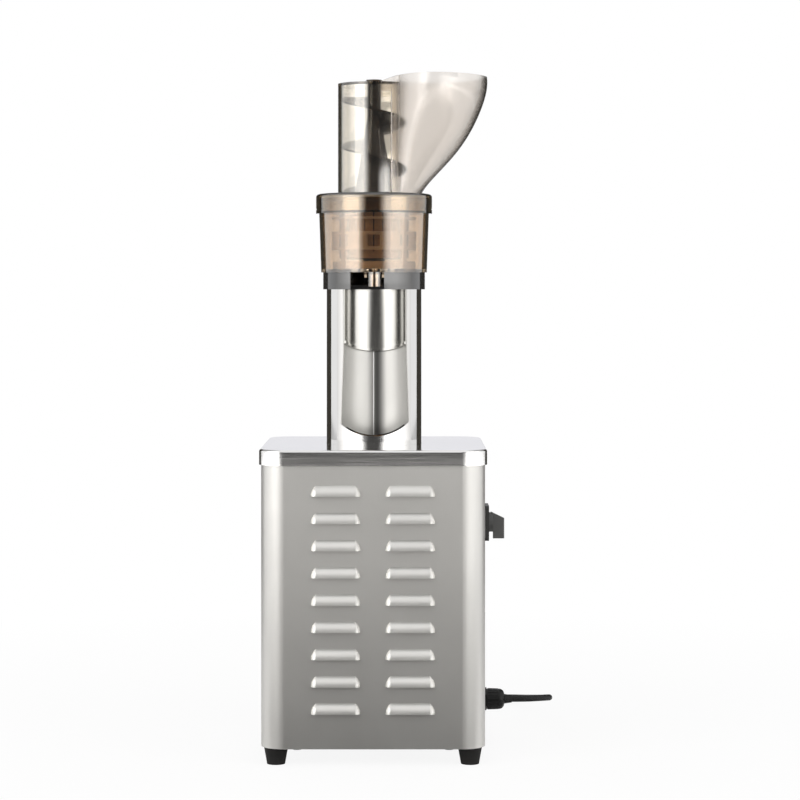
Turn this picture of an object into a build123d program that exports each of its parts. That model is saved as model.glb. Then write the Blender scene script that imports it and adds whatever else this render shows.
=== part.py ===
from build123d import *
import os
from math import acos, atan2, ceil, cos, degrees, pi, radians, sin, sqrt, tan

# Sizes are in millimetres and angles in degrees. Pieces are made with the column's axis on x = 0, y = 0,
# the front towards -Y and the feet on z = 0, and are moved sideways together when they are written.

# Clearances that the fits share
slip_gap = 0.3
running_gap = 0.05
fit_gap = 0.05

# Body shell, a bent sheet box with louvres on its front
body_width = 260.0
body_depth = 260.0
body_height = 342.5
body_corner = 27.0
body_sheet = 1.5
louvre_length = 57.0
louvre_height = 12.3
louvre_depth = 6.0
louvre_sheet = 1.2
louvre_spread = 86.0
louvre_pitch = 31.3
louvre_rows = 9
louvre_first_drop = 51.5

# Top cover, a folded lid over the shell
cover_sheet = 1.5
cover_lip = 18.0
cover_gap = 0.9
cover_edge_round = 3.0

# Base plate, a shallow tray inside the shell's foot
base_sheet = 2.0
base_rim = 18.0

# Rubber feet
foot_height = 19.5
foot_top_radius = 14.0
foot_bottom_radius = 10.5
foot_inset = 17.8
foot_recess_radius = 5.5
foot_recess_depth = 9.0

# Screws, by shank radius, head radius and head height
small_screw = (2.0, 3.6, 2.4)
medium_screw = (2.5, 4.5, 3.2)
large_screw = (3.0, 5.0, 4.0)

# Inner frame that carries the drive
post_radius = 7.0
post_inset_x = 42.0
post_inset_y = 22.0
post_thread_depth = 14.0
plate_room_x = 27.0
plate_room_y = 10.0
plate_corner = 10.0
plate_thickness = 6.0

# Column with its welded flange and the cup niche in its front
column_radius = 57.15
column_wall = 2.0
column_rise = 185.0
flange_radius = 76.0
flange_thickness = 6.0
flange_bolt_circle = 66.5
flange_bolt_count = 4
niche_radius = 40.1
niche_foot_radius = 44.6
niche_x = 2.2
niche_y = -57.9
niche_sheet = 1.2
niche_front_z = 13.0
niche_edge_slope = 42.0
niche_floor_lift = 2.0
seam_radius = 0.8
seam_x = -0.4
guard_sheet = 1.2
guard_drop = 75.0
guard_slope = 21.5
guard_lip_height = 3.0
guard_lip_reach = 2.0
guard_cut_room = 16.0

# Gearbox: two equal spur stages that bring the output back to the motor's axis
gear_module = 1.5
pressure_angle = 25.0
pinion_teeth = 12
wheel_teeth = 60
tooth_thinning = 0.16
flank_steps = 4
gear_addendum = 1.0
gear_dedendum = 1.25
first_wheel_width = 12.0
second_wheel_width = 16.0
pinion_overlap = 2.0
case_wall = 8.0
case_floor = 12.0
case_tip_room = 3.5
gear_chamber_height = 60.0
gearbox_cover_thickness = 14.0
boss_radius = 24.0
boss_rise = 13.5
gearbox_bolt_angle = 40.0
first_wheel_lift = 5.5
second_wheel_lift = 35.5
counter_shaft_radius = 7.0

# Bearings, by outer radius and width
rotor_bearing = (14.0, 8.0)
counter_bearing = (15.0, 8.0)
output_bearing = (17.0, 10.0)
top_bearing = (13.0, 9.0)

# Motor
can_radius = 65.0
can_wall = 3.0
can_height = 142.0
can_flange_radius = 76.0
can_flange_thickness = 5.0
can_screw_count = 4
stator_stack = 60.0
stator_bore_radius = 33.0
air_gap = 0.5
winding_inner_radius = 37.0
winding_outer_radius = 57.0
winding_height = 22.0
winding_round = 7.0
bell_thickness = 12.0
bell_spigot = 4.0
bell_spigot_wall = 6.0
rotor_shaft_radius = 6.0
fan_radius = 56.0
fan_hub_radius = 12.0
fan_height = 14.0
fan_gap = 2.5
fan_blades = 9
fan_sheet = 2.0
shaft_tail = 2.0

# Drive shaft up the column
drive_radius = 8.0
coupling_radius = 11.5
coupling_length = 34.0
coupling_gap = 1.0
hex_across = 12.6
hex_length = 24.0
shoulder_rise = 2.0

# Selector switch on the right side
selector_y = -60.0
selector_z = 274.3
selector_plate_side = 41.0
selector_plate_thickness = 5.5
selector_plate_corner = 3.0
selector_hub_radius = 11.5
selector_hub_reach = 5.0
selector_stand_out = 18.5
selector_grip_width = 9.0
selector_grip_top = 12.0
selector_grip_bevel = 7.5
selector_grip_foot = 19.0
selector_grip_step = 9.0
selector_grip_round = 1.5
selector_spindle_radius = 3.0
selector_body_side = 40.0
selector_body_depth = 44.0

# Cable gland and cord sleeve low on the right side
gland_y = 20.0
gland_z = 52.1
gland_hex_across = 24.0
gland_hex_thickness = 6.0
gland_thread_radius = 8.0
gland_thread_length = 14.0
gland_nut_radius = 12.2
gland_nut_length = 21.5
gland_nut_round = 6.5
locknut_across = 22.0
locknut_thickness = 5.0
sleeve_length = 9.0
sleeve_root_radius = 5.8
sleeve_tip_radius = 4.5

# Mains lead, its coil, tie and plug on the floor behind the body
cord_radius = 3.75
cord_bend_share = 0.48
coil_x = 50.0
coil_first_radius = 52.0
coil_pitch = 8.2
coil_layer_rise = 8.2
coil_lift = 1.6
coil_half_turns_in = 5
coil_half_turns_out = 4
coil_room = 172.0
coil_tail = 48.0
tie_width = 8.0
tie_sheet = 1.0
tie_gap = 0.4
tie_side_gap = 1.8
plug_sleeve_length = 22.0
plug_sleeve_radius = 5.0
plug_neck_radius = 9.0
plug_length = 36.0
plug_width = 28.0
plug_round = 5.0
blade_width = 6.3
blade_thickness = 1.5
blade_length = 17.0
blade_spread = 12.7
earth_pin_radius = 2.4
earth_pin_length = 20.0
earth_pin_drop = 7.0

# Capacitor and terminal block on the base plate
capacitor_radius = 20.0
capacitor_height = 82.0
capacitor_wall_room = 7.5
capacitor_y = 0.0
capacitor_terminal = (6.3, 0.8, 12.0)
capacitor_terminal_spread = 14.0
clamp_sheet = 2.0
clamp_height = 20.0
clamp_foot_length = 22.0
terminal_length = 62.0
terminal_width = 20.0
terminal_height = 16.0
terminal_ways = 5
terminal_screw_radius = 3.0
terminal_wire_radius = 2.0
terminal_hole_depth = 5.0
terminal_wall_room = 18.5
terminal_y = 5.0

# Bowl seat on top of the column
seat_radius = 61.4
seat_height = 20.3
seat_floor = 5.0
seat_wall = 6.5
seat_spigot_depth = 8.0
seat_spigot_wall = 4.0
seat_hub_wall = 5.0
outlet_x = -7.5
outlet_width = 40.0
outlet_depth = 40.0

# Bowl with its juice nozzle and pulp spout
bowl_bottom_radius = 63.8
bowl_top_radius = 66.2
bowl_height = 88.7
bowl_wall = 3.0
bowl_floor = 4.0
ledge_depth = 4.0
ledge_wall = 1.5
nozzle_x = 1.0
nozzle_bore_radius = 6.5
nozzle_wall = 2.5
nozzle_drop = 17.0
spout_width = 24.0
spout_height = 12.0
spout_wall = 2.0
spout_start = 23.0
spout_inlet_length = 16.0
spout_end = 84.0
seal_wall = 5.0

# Auger
auger_radius = 39.0
auger_core_radius = 36.0
auger_core_height = 8.0
auger_waist_radius = 24.0
auger_stem_radius = 8.0
auger_stem_length = 36.0
auger_pivot_radius = 6.0
auger_pivot_length = 6.0
flight_pitch = 56.0
flight_sheet = 2.6
flight_root_depth = 0.4
flight_top_drop = 13.0
flight_start_turn = 285.0
core_seam_turn = 35.0
socket_gap = 0.15
auger_gear_teeth = 20
auger_gear_width = 7.0
auger_gear_neck = 2.4

# Strainer and wiper
strainer_wall = 2.2
strainer_gap = 0.6
strainer_floor_room = 12.7
strainer_flange = 3.7
slit_count = 24
slit_width = 1.4
slit_height = 50.0
slit_first_lift = 8.0
idler_teeth = 20
idler_width = 8.0
idler_pin_radius = 3.0
wiper_ring_width = 8.7
wiper_ring_radius = 49.5
wiper_radius = 51.0
wiper_band_sheet = 3.0
wiper_band_lift = 22.4
wiper_band_height = 22.0
wiper_post_count = 4
wiper_post_width = 7.0
wiper_post_height = 62.0
wiper_window_count = 8
wiper_window_angle = 16.0
wiper_window_height = 14.0
blade_sheet = 2.0

# Feed lid with its tube, gasket and pivot bush
gasket_thickness = 2.5
gasket_width = 6.0
lid_radius = 70.0
lid_overlap = 18.2
lid_plate = 3.0
lid_edge_round = 4.0
lid_bead_height = 4.5
lid_groove_height = 1.2
lid_groove_depth = 0.8
tube_radius = 43.5
tube_wall = 3.0
tube_height = 132.5
tube_cap = 3.0
feed_cut_x = 28.5
bush_flange_radius = 9.5
bush_wall = 2.0
bush_rise = 5.0

# Hopper sections: share of its height, reach from the axis, half width and where it is widest
hopper_sections = (
    (0.0, 57.0, 35.6, 34.0),
    (0.196, 79.5, 42.0, 44.0),
    (0.370, 101.0, 51.0, 55.0),
    (0.543, 117.0, 61.0, 64.0),
    (0.717, 128.5, 70.0, 72.0),
    (1.0, 136.0, 77.0, 80.0),
)
hopper_rim_rise = 8.0
hopper_wall = 2.6
hopper_slant = 1.3
hopper_flange_angle = 62.0
hopper_collar_angle = 80.0
hopper_collar_height = 12.0
hopper_flange_sheet = 2.4

# Heights that follow from the sizes above
base_top = foot_height + base_sheet
shell_top = foot_height + body_height
deck_z = shell_top + cover_sheet
flange_low = shell_top - flange_thickness
plate_low = flange_low - plate_thickness
gearbox_cover_low = plate_low - gearbox_cover_thickness
chamber_low = gearbox_cover_low - gear_chamber_height
case_low = chamber_low - case_floor
can_low = case_low - can_height
bell_low = can_low - bell_thickness
fan_top = bell_low - fan_gap
fan_low = fan_top - fan_height
boss_top = plate_low + boss_rise
column_top = deck_z + column_rise
seat_top = column_top + seat_height
bowl_floor_top = seat_top + bowl_floor
bowl_top = seat_top + bowl_height
lid_low = bowl_top + gasket_thickness
lid_top = lid_low + lid_plate
skirt_low = bowl_top - lid_overlap
tube_top = lid_top + tube_height
shoulder_z = bowl_floor_top + shoulder_rise
auger_low = shoulder_z + slip_gap
stem_top = tube_top - tube_cap - slip_gap
strainer_low = bowl_floor_top + strainer_floor_room
ledge_z = bowl_top - ledge_depth
wiper_low = bowl_floor_top + slip_gap

# Other sizes that follow
half_width = body_width / 2
half_depth = body_depth / 2
cover_half = half_width + cover_gap + cover_sheet
selector_face = half_width + selector_plate_thickness
selector_hub_end = selector_face + slip_gap + selector_hub_reach
selector_reach = selector_face + selector_stand_out
axis_x = (cover_half - selector_reach) / 2
plate_width = body_width - 2 * plate_room_x
plate_depth = body_depth - 2 * plate_room_y
capacitor_x = capacitor_radius + capacitor_wall_room + body_sheet - half_width
terminal_x = half_width - body_sheet - terminal_wall_room - terminal_width / 2
column_bore = column_radius - column_wall
pinion_pitch_radius = gear_module * pinion_teeth / 2
wheel_pitch_radius = gear_module * wheel_teeth / 2
counter_x = -(pinion_pitch_radius + wheel_pitch_radius)
case_bore = wheel_pitch_radius + gear_module * gear_addendum + case_tip_room
case_radius = case_bore + case_wall
stator_radius = can_radius - can_wall - fit_gap
auger_gear_radius = gear_module * auger_gear_teeth / 2
idler_radius = gear_module * idler_teeth / 2
idler_x = -(auger_gear_radius + idler_radius)
wiper_gear_teeth = auger_gear_teeth + 2 * idler_teeth
strainer_bore = auger_radius + strainer_gap
strainer_radius = strainer_bore + strainer_wall
juice_ring_radius = (wiper_ring_radius + bowl_bottom_radius - bowl_wall) / 2
nozzle_y = -sqrt(juice_ring_radius**2 - nozzle_x**2)
seal_radius = drive_radius + seal_wall
niche_floor_z = deck_z + niche_floor_lift
tube_bore = tube_radius - tube_wall
hopper_height = tube_height + hopper_rim_rise
hopper_edge_y = sqrt(tube_radius**2 - feed_cut_x**2) - slip_gap
coil_low_z = cord_radius + coil_lift
coil_high_z = coil_low_z + coil_layer_rise
coil_far_y = half_depth + coil_room
sleeve_x = half_width + gland_hex_thickness + gland_nut_length
cord_start_x = sleeve_x + sleeve_length

corners = [(side_x, side_y) for side_x in (-1, 1) for side_y in (-1, 1)]
foot_places = [(x * (half_width - foot_inset), y * (half_depth - foot_inset)) for x, y in corners]
post_places = [(x * (half_width - post_inset_x), y * (half_depth - post_inset_y)) for x, y in corners]

# Points of the lead, chosen by hand: out of the sleeve, back beside the box, down to the floor and
# round to the coil
cord_points = (
    (cord_start_x, gland_y, gland_z),
    (cord_start_x + 16.0, gland_y, gland_z),
    (cord_start_x + 30.8, gland_y + 6.1, gland_z - 0.3),
    (cord_start_x + 42.1, gland_y + 17.4, gland_z - 1.6),
    (cord_start_x + 48.2, gland_y + 32.2, gland_z - 3.8),
    (cord_start_x + 48.7, gland_y + 60.0, gland_z - 8.6),
    (cord_start_x + 48.7, gland_y + 110.0, gland_z - 17.1),
    (cord_start_x + 48.0, coil_far_y - 117.0, 25.4),
    (cord_start_x + 44.0, coil_far_y - 69.0, 17.2),
    (cord_start_x + 31.0, coil_far_y - 32.0, 10.9),
    (cord_start_x + 8.0, coil_far_y - 12.0, 8.0),
    (cord_start_x - 21.0, coil_far_y - 3.5, 6.3),
    (cord_start_x - 52.0, coil_far_y - 0.6, 5.5),
    (cord_start_x - 83.0, coil_far_y, coil_low_z),
    (coil_x + 2 * cord_radius, coil_far_y, coil_low_z),
)


def disc(radius, low, high, at=(0, 0)):
    """Upright cylinder between two heights."""
    return Pos(at[0], at[1], (low + high) / 2) * Cylinder(radius, high - low)


def ring(outer, inner, low, high, at=(0, 0)):
    """Upright tube between two heights."""
    return disc(outer, low, high, at) - disc(inner, low, high, at)


def rod(radius, start, end, y, z):
    """Cylinder along X between two places."""
    return Pos((start + end) / 2, y, z) * Rot(0, 90, 0) * Cylinder(radius, end - start)


def slab(x, y, z):
    """Box between two places on each axis."""
    size = [pair[1] - pair[0] for pair in (x, y, z)]
    middle = [(pair[0] + pair[1]) / 2 for pair in (x, y, z)]
    return Pos(*middle) * Box(*size)


def rounded_block(width, depth, corner, low, high):
    """Upright block with rounded corners, centred on the axis."""
    return Pos(0, 0, low) * extrude(RectangleRounded(width, depth, corner), high - low)


def hexagon(across, low, high):
    """Upright hexagonal bar on the axis, by its size across the flats."""
    return Pos(0, 0, low) * extrude(RegularPolygon(across / 2, 6, major_radius=False), high - low)


def hexagon_x(across, start, end, y, z):
    """Hexagonal bar along X."""
    return Pos(start, y, z) * Rot(0, 90, 0) * hexagon(across, 0, end - start)


def turned(points):
    """Solid of revolution about the axis from a list of radius and height pairs."""
    outline = Polyline(*[(radius, 0, z) for radius, z in points], close=True)
    return revolve(make_face(outline), Axis.Z, 360)


def stadium(radius, low, high):
    """Upright block round the main axis and the counter shaft."""
    ends = disc(radius, low, high) + disc(radius, low, high, (counter_x, 0))
    return ends + slab((counter_x, 0), (-radius, radius), (low, high))


def screw(kind, bearing_z, tip_z, at):
    """Screw on an upright axis: its head lies on bearing_z, on the side away from its tip."""
    shank, head, head_height = kind
    away = 1 if bearing_z > tip_z else -1
    head_end = bearing_z + away * head_height
    body = disc(shank, min(bearing_z, tip_z), max(bearing_z, tip_z), at)
    return body + disc(head, min(bearing_z, head_end), max(bearing_z, head_end), at)


def screw_hole(kind, low, high, at):
    """Hole that a screw's shank passes with a little room."""
    return disc(kind[0] + fit_gap, low, high, at)


def flank_angle(radius, base_radius):
    """Involute function, in radians, at a radius."""
    if radius <= base_radius:
        return 0.0
    slope = acos(base_radius / radius)
    return tan(slope) - slope


def gear_face(teeth, turn, thinning, tip_share, root_share):
    """Face of an involute gear whose first tooth is turned by an angle."""
    pitch_radius = gear_module * teeth / 2
    base_radius = pitch_radius * cos(radians(pressure_angle))
    tip = pitch_radius + gear_module * tip_share
    root = pitch_radius - gear_module * root_share
    half_tooth = pi / (2 * teeth) - thinning / (2 * pitch_radius)
    half_tooth += flank_angle(pitch_radius, base_radius)
    start = max(root, base_radius)
    radii = [start + (tip - start) * step / (flank_steps - 1) for step in range(flank_steps)]
    if root < base_radius:
        radii.insert(0, root)
    flank = [(radius, half_tooth - flank_angle(radius, base_radius)) for radius in radii]
    points = []
    for tooth in range(teeth):
        middle = radians(turn) + 2 * pi * tooth / teeth
        points += [(r * cos(middle - a), r * sin(middle - a)) for r, a in flank]
        points += [(r * cos(middle + a), r * sin(middle + a)) for r, a in reversed(flank)]
    return make_face(Polyline(*points, close=True))


def gear(teeth, turn, low, high, at=(0, 0)):
    """External spur gear between two heights."""
    face = gear_face(teeth, turn, tooth_thinning, gear_addendum, gear_dedendum)
    return Pos(at[0], at[1], low) * extrude(face, high - low)


def below_plane(y, z, slope):
    """Large block under a plane that passes a place and rises towards +Y by an angle."""
    reach = column_radius * 4
    return Pos(0, y, z) * Rot(slope, 0, 0) * Pos(0, 0, -reach / 2) * Box(reach, reach, reach)


def louvre_profile(depth, height, centre_y, radius):
    """Section of a louvre's hood on the YZ plane, with the wall's outer face on y = 0."""
    low = (-depth, 0)
    middle_angle = (pi + atan2(height, -centre_y)) / 2
    middle = (centre_y + radius * cos(middle_angle), radius * sin(middle_angle))
    outline = Line((0, 0), low) + ThreePointArc(low, middle, (0, height)) + Line((0, height), (0, 0))
    return Plane.YZ * make_face(outline)


def louvre_hood(depth, height, centre_y, radius):
    """Hood with a straight middle and quarter-round ends, its mouth on z = 0."""
    straight = louvre_length / 2 - louvre_depth
    section = louvre_profile(depth, height, centre_y, radius)
    hood = extrude(section, straight, both=True)
    for side in (-1, 1):
        end_axis = Axis((side * straight, 0, 0), (0, 0, 1))
        hood += revolve(Pos(side * straight, 0, 0) * section, end_axis, side * 90)
    return hood


def body_shell():
    low, high = foot_height, shell_top
    shell = rounded_block(body_width, body_depth, body_corner, low, high)
    shell -= rounded_block(
        body_width - 2 * body_sheet, body_depth - 2 * body_sheet, body_corner - body_sheet, low, high
    )
    radius = (louvre_depth**2 + louvre_height**2) / (2 * louvre_depth)
    centre_y = radius - louvre_depth
    inner_radius = radius - louvre_sheet
    inner_height = sqrt(inner_radius**2 - centre_y**2)
    hood = louvre_hood(louvre_depth, louvre_height, centre_y, radius)
    mouth = louvre_hood(louvre_depth - louvre_sheet, inner_height, centre_y, inner_radius)
    straight = louvre_length / 2 - louvre_depth
    mouth += slab((-straight, straight), (0, 2 * body_sheet), (0, inner_height))
    places = [
        Pos(side * louvre_spread / 2, -half_depth, shell_top - louvre_first_drop - row * louvre_pitch)
        for side in (-1, 1)
        for row in range(louvre_rows)
    ]
    shell += [place * hood for place in places]
    shell -= [place * mouth for place in places]
    shell -= rod(selector_spindle_radius + slip_gap, 0, body_width, selector_y, selector_z)
    shell -= rod(gland_thread_radius + slip_gap, 0, body_width, gland_y, gland_z)
    return shell


def top_cover():
    low = deck_z - cover_lip
    wide = body_width + 2 * (cover_gap + cover_sheet)
    deep = body_depth + 2 * (cover_gap + cover_sheet)
    corner = body_corner + cover_gap + cover_sheet
    cover = rounded_block(wide, deep, corner, low, deck_z)
    cover = fillet(cover.edges().group_by(Axis.Z)[-1], cover_edge_round)
    cover -= rounded_block(
        wide - 2 * cover_sheet, deep - 2 * cover_sheet, corner - cover_sheet, low, shell_top
    )
    return cover - disc(column_radius + slip_gap, low, deck_z)


def base_plate():
    inset = body_sheet + slip_gap
    wide = body_width - 2 * inset
    deep = body_depth - 2 * inset
    corner = body_corner - inset
    tray = rounded_block(wide, deep, corner, foot_height, foot_height + base_rim)
    tray -= rounded_block(
        wide - 2 * base_sheet, deep - 2 * base_sheet, corner - base_sheet, base_top, foot_height + base_rim
    )
    tray -= [screw_hole(medium_screw, foot_height, base_top, place) for place in foot_places]
    tray -= [screw_hole(large_screw, foot_height, base_top, place) for place in post_places]
    return tray


def rubber_feet():
    foot = Pos(0, 0, foot_height / 2) * Cone(foot_bottom_radius, foot_top_radius, foot_height)
    foot -= screw_hole(medium_screw, 0, foot_height, (0, 0))
    foot -= disc(foot_recess_radius, 0, foot_recess_depth)
    return [Pos(x, y, 0) * foot for x, y in foot_places]


def foot_screws():
    return [screw(medium_screw, foot_recess_depth, base_top, place) for place in foot_places]


def frame_posts():
    posts = []
    for place in post_places:
        post = disc(post_radius, base_top, plate_low, place)
        post -= screw_hole(large_screw, base_top, base_top + post_thread_depth, place)
        post -= screw_hole(large_screw, plate_low - post_thread_depth, plate_low, place)
        posts.append(post)
    return posts


def post_screws():
    reach = post_thread_depth - slip_gap
    lower = [screw(large_screw, foot_height, base_top + reach, place) for place in post_places]
    upper = [screw(large_screw, flange_low, plate_low - reach, place) for place in post_places]
    return lower + upper


def gearbox_bolt_places():
    reach = case_bore + case_wall / 2
    across = reach * sin(radians(gearbox_bolt_angle))
    along = reach * cos(radians(gearbox_bolt_angle))
    return [(x, side * across) for x in (along, counter_x - along) for side in (-1, 1)]


def flange_bolt_places():
    step = 2 * pi / flange_bolt_count
    angles = [step * (turn + 0.5) for turn in range(flange_bolt_count)]
    return [(flange_bolt_circle * cos(a), flange_bolt_circle * sin(a)) for a in angles]


def can_screw_places():
    circle = (can_radius + can_flange_radius) / 2
    step = 2 * pi / can_screw_count
    angles = [step * (turn + 0.5) for turn in range(can_screw_count)]
    return [(circle * cos(a), circle * sin(a)) for a in angles]


def support_plate():
    plate = rounded_block(plate_width, plate_depth, plate_corner, plate_low, flange_low)
    plate -= disc(boss_radius + slip_gap, plate_low, flange_low)
    plate -= [screw_hole(large_screw, plate_low, flange_low, place) for place in post_places]
    plate -= [screw_hole(medium_screw, plate_low, flange_low, place) for place in gearbox_bolt_places()]
    plate -= [screw_hole(large_screw, plate_low, flange_low, place) for place in flange_bolt_places()]
    return plate


def countersink(place):
    """Cone that takes a countersunk head flush with the flange's top."""
    shank, head, depth = large_screw
    return Pos(place[0], place[1], shell_top - depth / 2) * Cone(shank, head, depth)


def niche_room(offset):
    """Upright space of the cup niche, grown by an offset: straight behind the guard and wider at the foot."""
    bend_z = column_top - guard_drop
    foot_z = niche_floor_z - offset
    cone = Cone(niche_foot_radius + offset, niche_radius + offset, bend_z - foot_z)
    cone = Pos(niche_x, niche_y, (foot_z + bend_z) / 2) * cone
    return cone + disc(niche_radius + offset, bend_z, column_top, (niche_x, niche_y))


def niche_mouth(offset):
    """Part of the niche that opens through the column's wall, above its sloping front edge."""
    tilt = radians(niche_edge_slope)
    front_z = deck_z + niche_front_z - offset / cos(tilt)
    return niche_room(offset) - below_plane(-column_radius, front_z, niche_edge_slope)


def column_tube():
    tube = ring(column_radius, column_bore, flange_low, column_top)
    return tube - niche_mouth(niche_sheet + fit_gap)


def column_flange():
    flange = ring(flange_radius, column_radius + fit_gap, flange_low, shell_top)
    flange -= [countersink(place) for place in flange_bolt_places()]
    return flange - [screw_hole(large_screw, flange_low, shell_top, place) for place in flange_bolt_places()]


def column_bolts():
    shank = large_screw[0]
    return [disc(shank, plate_low, shell_top, place) + countersink(place) for place in flange_bolt_places()]


def niche_liner():
    inside = disc(column_bore - fit_gap, flange_low, column_top)
    liner = niche_room(niche_sheet) & inside
    liner += niche_mouth(niche_sheet) & disc(column_radius, flange_low, column_top)
    liner -= niche_room(0)
    seam_low = (seam_x, niche_y + niche_foot_radius, niche_floor_z)
    seam_high = (seam_x, niche_y + niche_radius, column_top - guard_drop - slip_gap)
    return liner + tube_along(Line(seam_low, seam_high), seam_radius)


def guard_shell(thickness, drop):
    """Curved sheet inside the niche's back, cut along a slope at its lower edge."""
    outer = niche_radius - slip_gap
    low = column_top - guard_drop - guard_cut_room
    shell = ring(outer, outer - thickness, low, column_top, (niche_x, niche_y))
    back_y = niche_y + niche_radius
    return shell - below_plane(back_y, column_top - guard_drop + drop, -guard_slope)


def splash_guard():
    guard = guard_shell(guard_sheet, 0)
    lip = guard_shell(guard_sheet + guard_lip_reach, 0)
    lip -= guard_shell(2 * (guard_sheet + guard_lip_reach), guard_lip_height)
    return (guard + lip) & disc(column_radius, flange_low, column_top)


def bearing(kind, shaft_radius, low, at=(0, 0)):
    outer, width = kind
    return ring(outer, shaft_radius + running_gap, low, low + width, at)


def ball_bearings():
    counter = (counter_x, 0)
    return [
        bearing(rotor_bearing, rotor_shaft_radius, can_low - rotor_bearing[1]),
        bearing(rotor_bearing, rotor_shaft_radius, case_low),
        bearing(counter_bearing, counter_shaft_radius, chamber_low - counter_bearing[1], counter),
        bearing(counter_bearing, counter_shaft_radius, gearbox_cover_low, counter),
        bearing(output_bearing, drive_radius, gearbox_cover_low),
        bearing(output_bearing, drive_radius, boss_top - output_bearing[1]),
        bearing(top_bearing, drive_radius, column_top + seat_floor),
    ]


def pocket(kind, low, high, at=(0, 0)):
    """Space for a bearing's outer ring."""
    return disc(kind[0] + fit_gap, low, high, at)


def gearbox_case():
    case = stadium(case_radius, case_low, gearbox_cover_low)
    case += disc(can_flange_radius, case_low, case_low + case_floor / 2)
    case -= stadium(case_bore, chamber_low, gearbox_cover_low)
    case -= pocket(rotor_bearing, case_low, case_low + rotor_bearing[1])
    pinion_tip = pinion_pitch_radius + gear_module * gear_addendum
    case -= disc(pinion_tip + slip_gap, case_low, chamber_low)
    case -= pocket(counter_bearing, chamber_low - counter_bearing[1], chamber_low, (counter_x, 0))
    case -= [screw_hole(medium_screw, case_low, gearbox_cover_low, place) for place in gearbox_bolt_places()]
    flange_top = case_low + case_floor / 2
    return case - [screw_hole(small_screw, case_low, flange_top, place) for place in can_screw_places()]


def gearbox_cover():
    cover = stadium(case_radius, gearbox_cover_low, plate_low) + disc(boss_radius, plate_low, boss_top)
    cover -= pocket(output_bearing, gearbox_cover_low, gearbox_cover_low + output_bearing[1])
    cover -= disc(drive_radius + slip_gap, gearbox_cover_low, boss_top)
    cover -= pocket(output_bearing, boss_top - output_bearing[1], boss_top)
    counter_top = gearbox_cover_low + counter_bearing[1]
    cover -= pocket(counter_bearing, gearbox_cover_low, counter_top, (counter_x, 0))
    bolts = gearbox_bolt_places()
    return cover - [screw_hole(medium_screw, gearbox_cover_low, plate_low, place) for place in bolts]


def gearbox_bolts():
    return [screw(medium_screw, case_low, flange_low, place) for place in gearbox_bolt_places()]


def motor_can():
    flange_z = case_low - can_flange_thickness
    can = disc(can_radius, can_low, case_low) + disc(can_flange_radius, flange_z, case_low)
    can -= disc(can_radius - can_wall, can_low, case_low)
    can -= [screw_hole(small_screw, flange_z, case_low, place) for place in can_screw_places()]
    return can


def motor_screws():
    flange_z = case_low - can_flange_thickness
    return [screw(small_screw, flange_z, case_low + case_floor / 2, place) for place in can_screw_places()]


def motor_bell():
    bell = disc(can_radius, bell_low, can_low)
    bell += disc(can_radius - can_wall - fit_gap, can_low, can_low + bell_spigot)
    bell -= disc(can_radius - can_wall - bell_spigot_wall, can_low, can_low + bell_spigot)
    bell -= pocket(rotor_bearing, can_low - rotor_bearing[1], can_low)
    return bell - disc(rotor_shaft_radius + slip_gap, bell_low, can_low)


stator_low = (can_low + case_low - stator_stack) / 2
stator_high = stator_low + stator_stack


def stator_core():
    return ring(stator_radius, stator_bore_radius, stator_low, stator_high)


def stator_windings():
    lower = ring(winding_outer_radius, winding_inner_radius, stator_low - winding_height, stator_low)
    upper = ring(winding_outer_radius, winding_inner_radius, stator_high, stator_high + winding_height)
    lower = fillet(lower.edges().group_by(Axis.Z)[0], winding_round)
    upper = fillet(upper.edges().group_by(Axis.Z)[-1], winding_round)
    return [lower, upper]


def rotor_core():
    return ring(stator_bore_radius - air_gap, rotor_shaft_radius + fit_gap, stator_low, stator_high)


first_wheel_low = chamber_low + first_wheel_lift
first_wheel_high = first_wheel_low + first_wheel_width
second_wheel_low = chamber_low + second_wheel_lift
second_wheel_high = second_wheel_low + second_wheel_width


def rotor_shaft():
    pinion_low = first_wheel_low - pinion_overlap
    pinion_high = first_wheel_high + pinion_overlap
    shaft = disc(rotor_shaft_radius, fan_low - shaft_tail, pinion_high)
    return shaft + gear(pinion_teeth, 0, pinion_low, pinion_high)


def cooling_fan():
    fan = disc(fan_hub_radius, fan_low, fan_top) + disc(fan_radius, fan_top - fan_sheet, fan_top)
    for blade in range(fan_blades):
        plate = slab((0, fan_radius), (-fan_sheet / 2, fan_sheet / 2), (fan_low, fan_top))
        fan += Rot(0, 0, 360 * blade / fan_blades) * plate
    fan &= disc(fan_radius, fan_low, fan_top)
    return fan - disc(rotor_shaft_radius + fit_gap, fan_low, fan_top)


def counter_gear():
    wheel = gear(wheel_teeth, 180 / wheel_teeth, first_wheel_low, first_wheel_high)
    wheel -= disc(counter_shaft_radius + fit_gap, first_wheel_low, first_wheel_high)
    return Pos(counter_x, 0, 0) * wheel


def counter_shaft():
    low = chamber_low - counter_bearing[1]
    high = gearbox_cover_low + counter_bearing[1]
    shaft = disc(counter_shaft_radius, low, high)
    pinion_low = second_wheel_low - pinion_overlap
    pinion_high = second_wheel_high + pinion_overlap
    shaft += gear(pinion_teeth, 180 / pinion_teeth, pinion_low, pinion_high)
    return Pos(counter_x, 0, 0) * shaft


def output_gear():
    wheel = gear(wheel_teeth, 0, second_wheel_low, second_wheel_high)
    return wheel - disc(drive_radius + fit_gap, second_wheel_low, second_wheel_high)


coupling_low = boss_top + coupling_gap
shaft_joint = coupling_low + coupling_length / 2


def output_shaft():
    return disc(drive_radius, second_wheel_low, shaft_joint - slip_gap / 2)


def shaft_coupling():
    return ring(coupling_radius, drive_radius + fit_gap, coupling_low, coupling_low + coupling_length)


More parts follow.
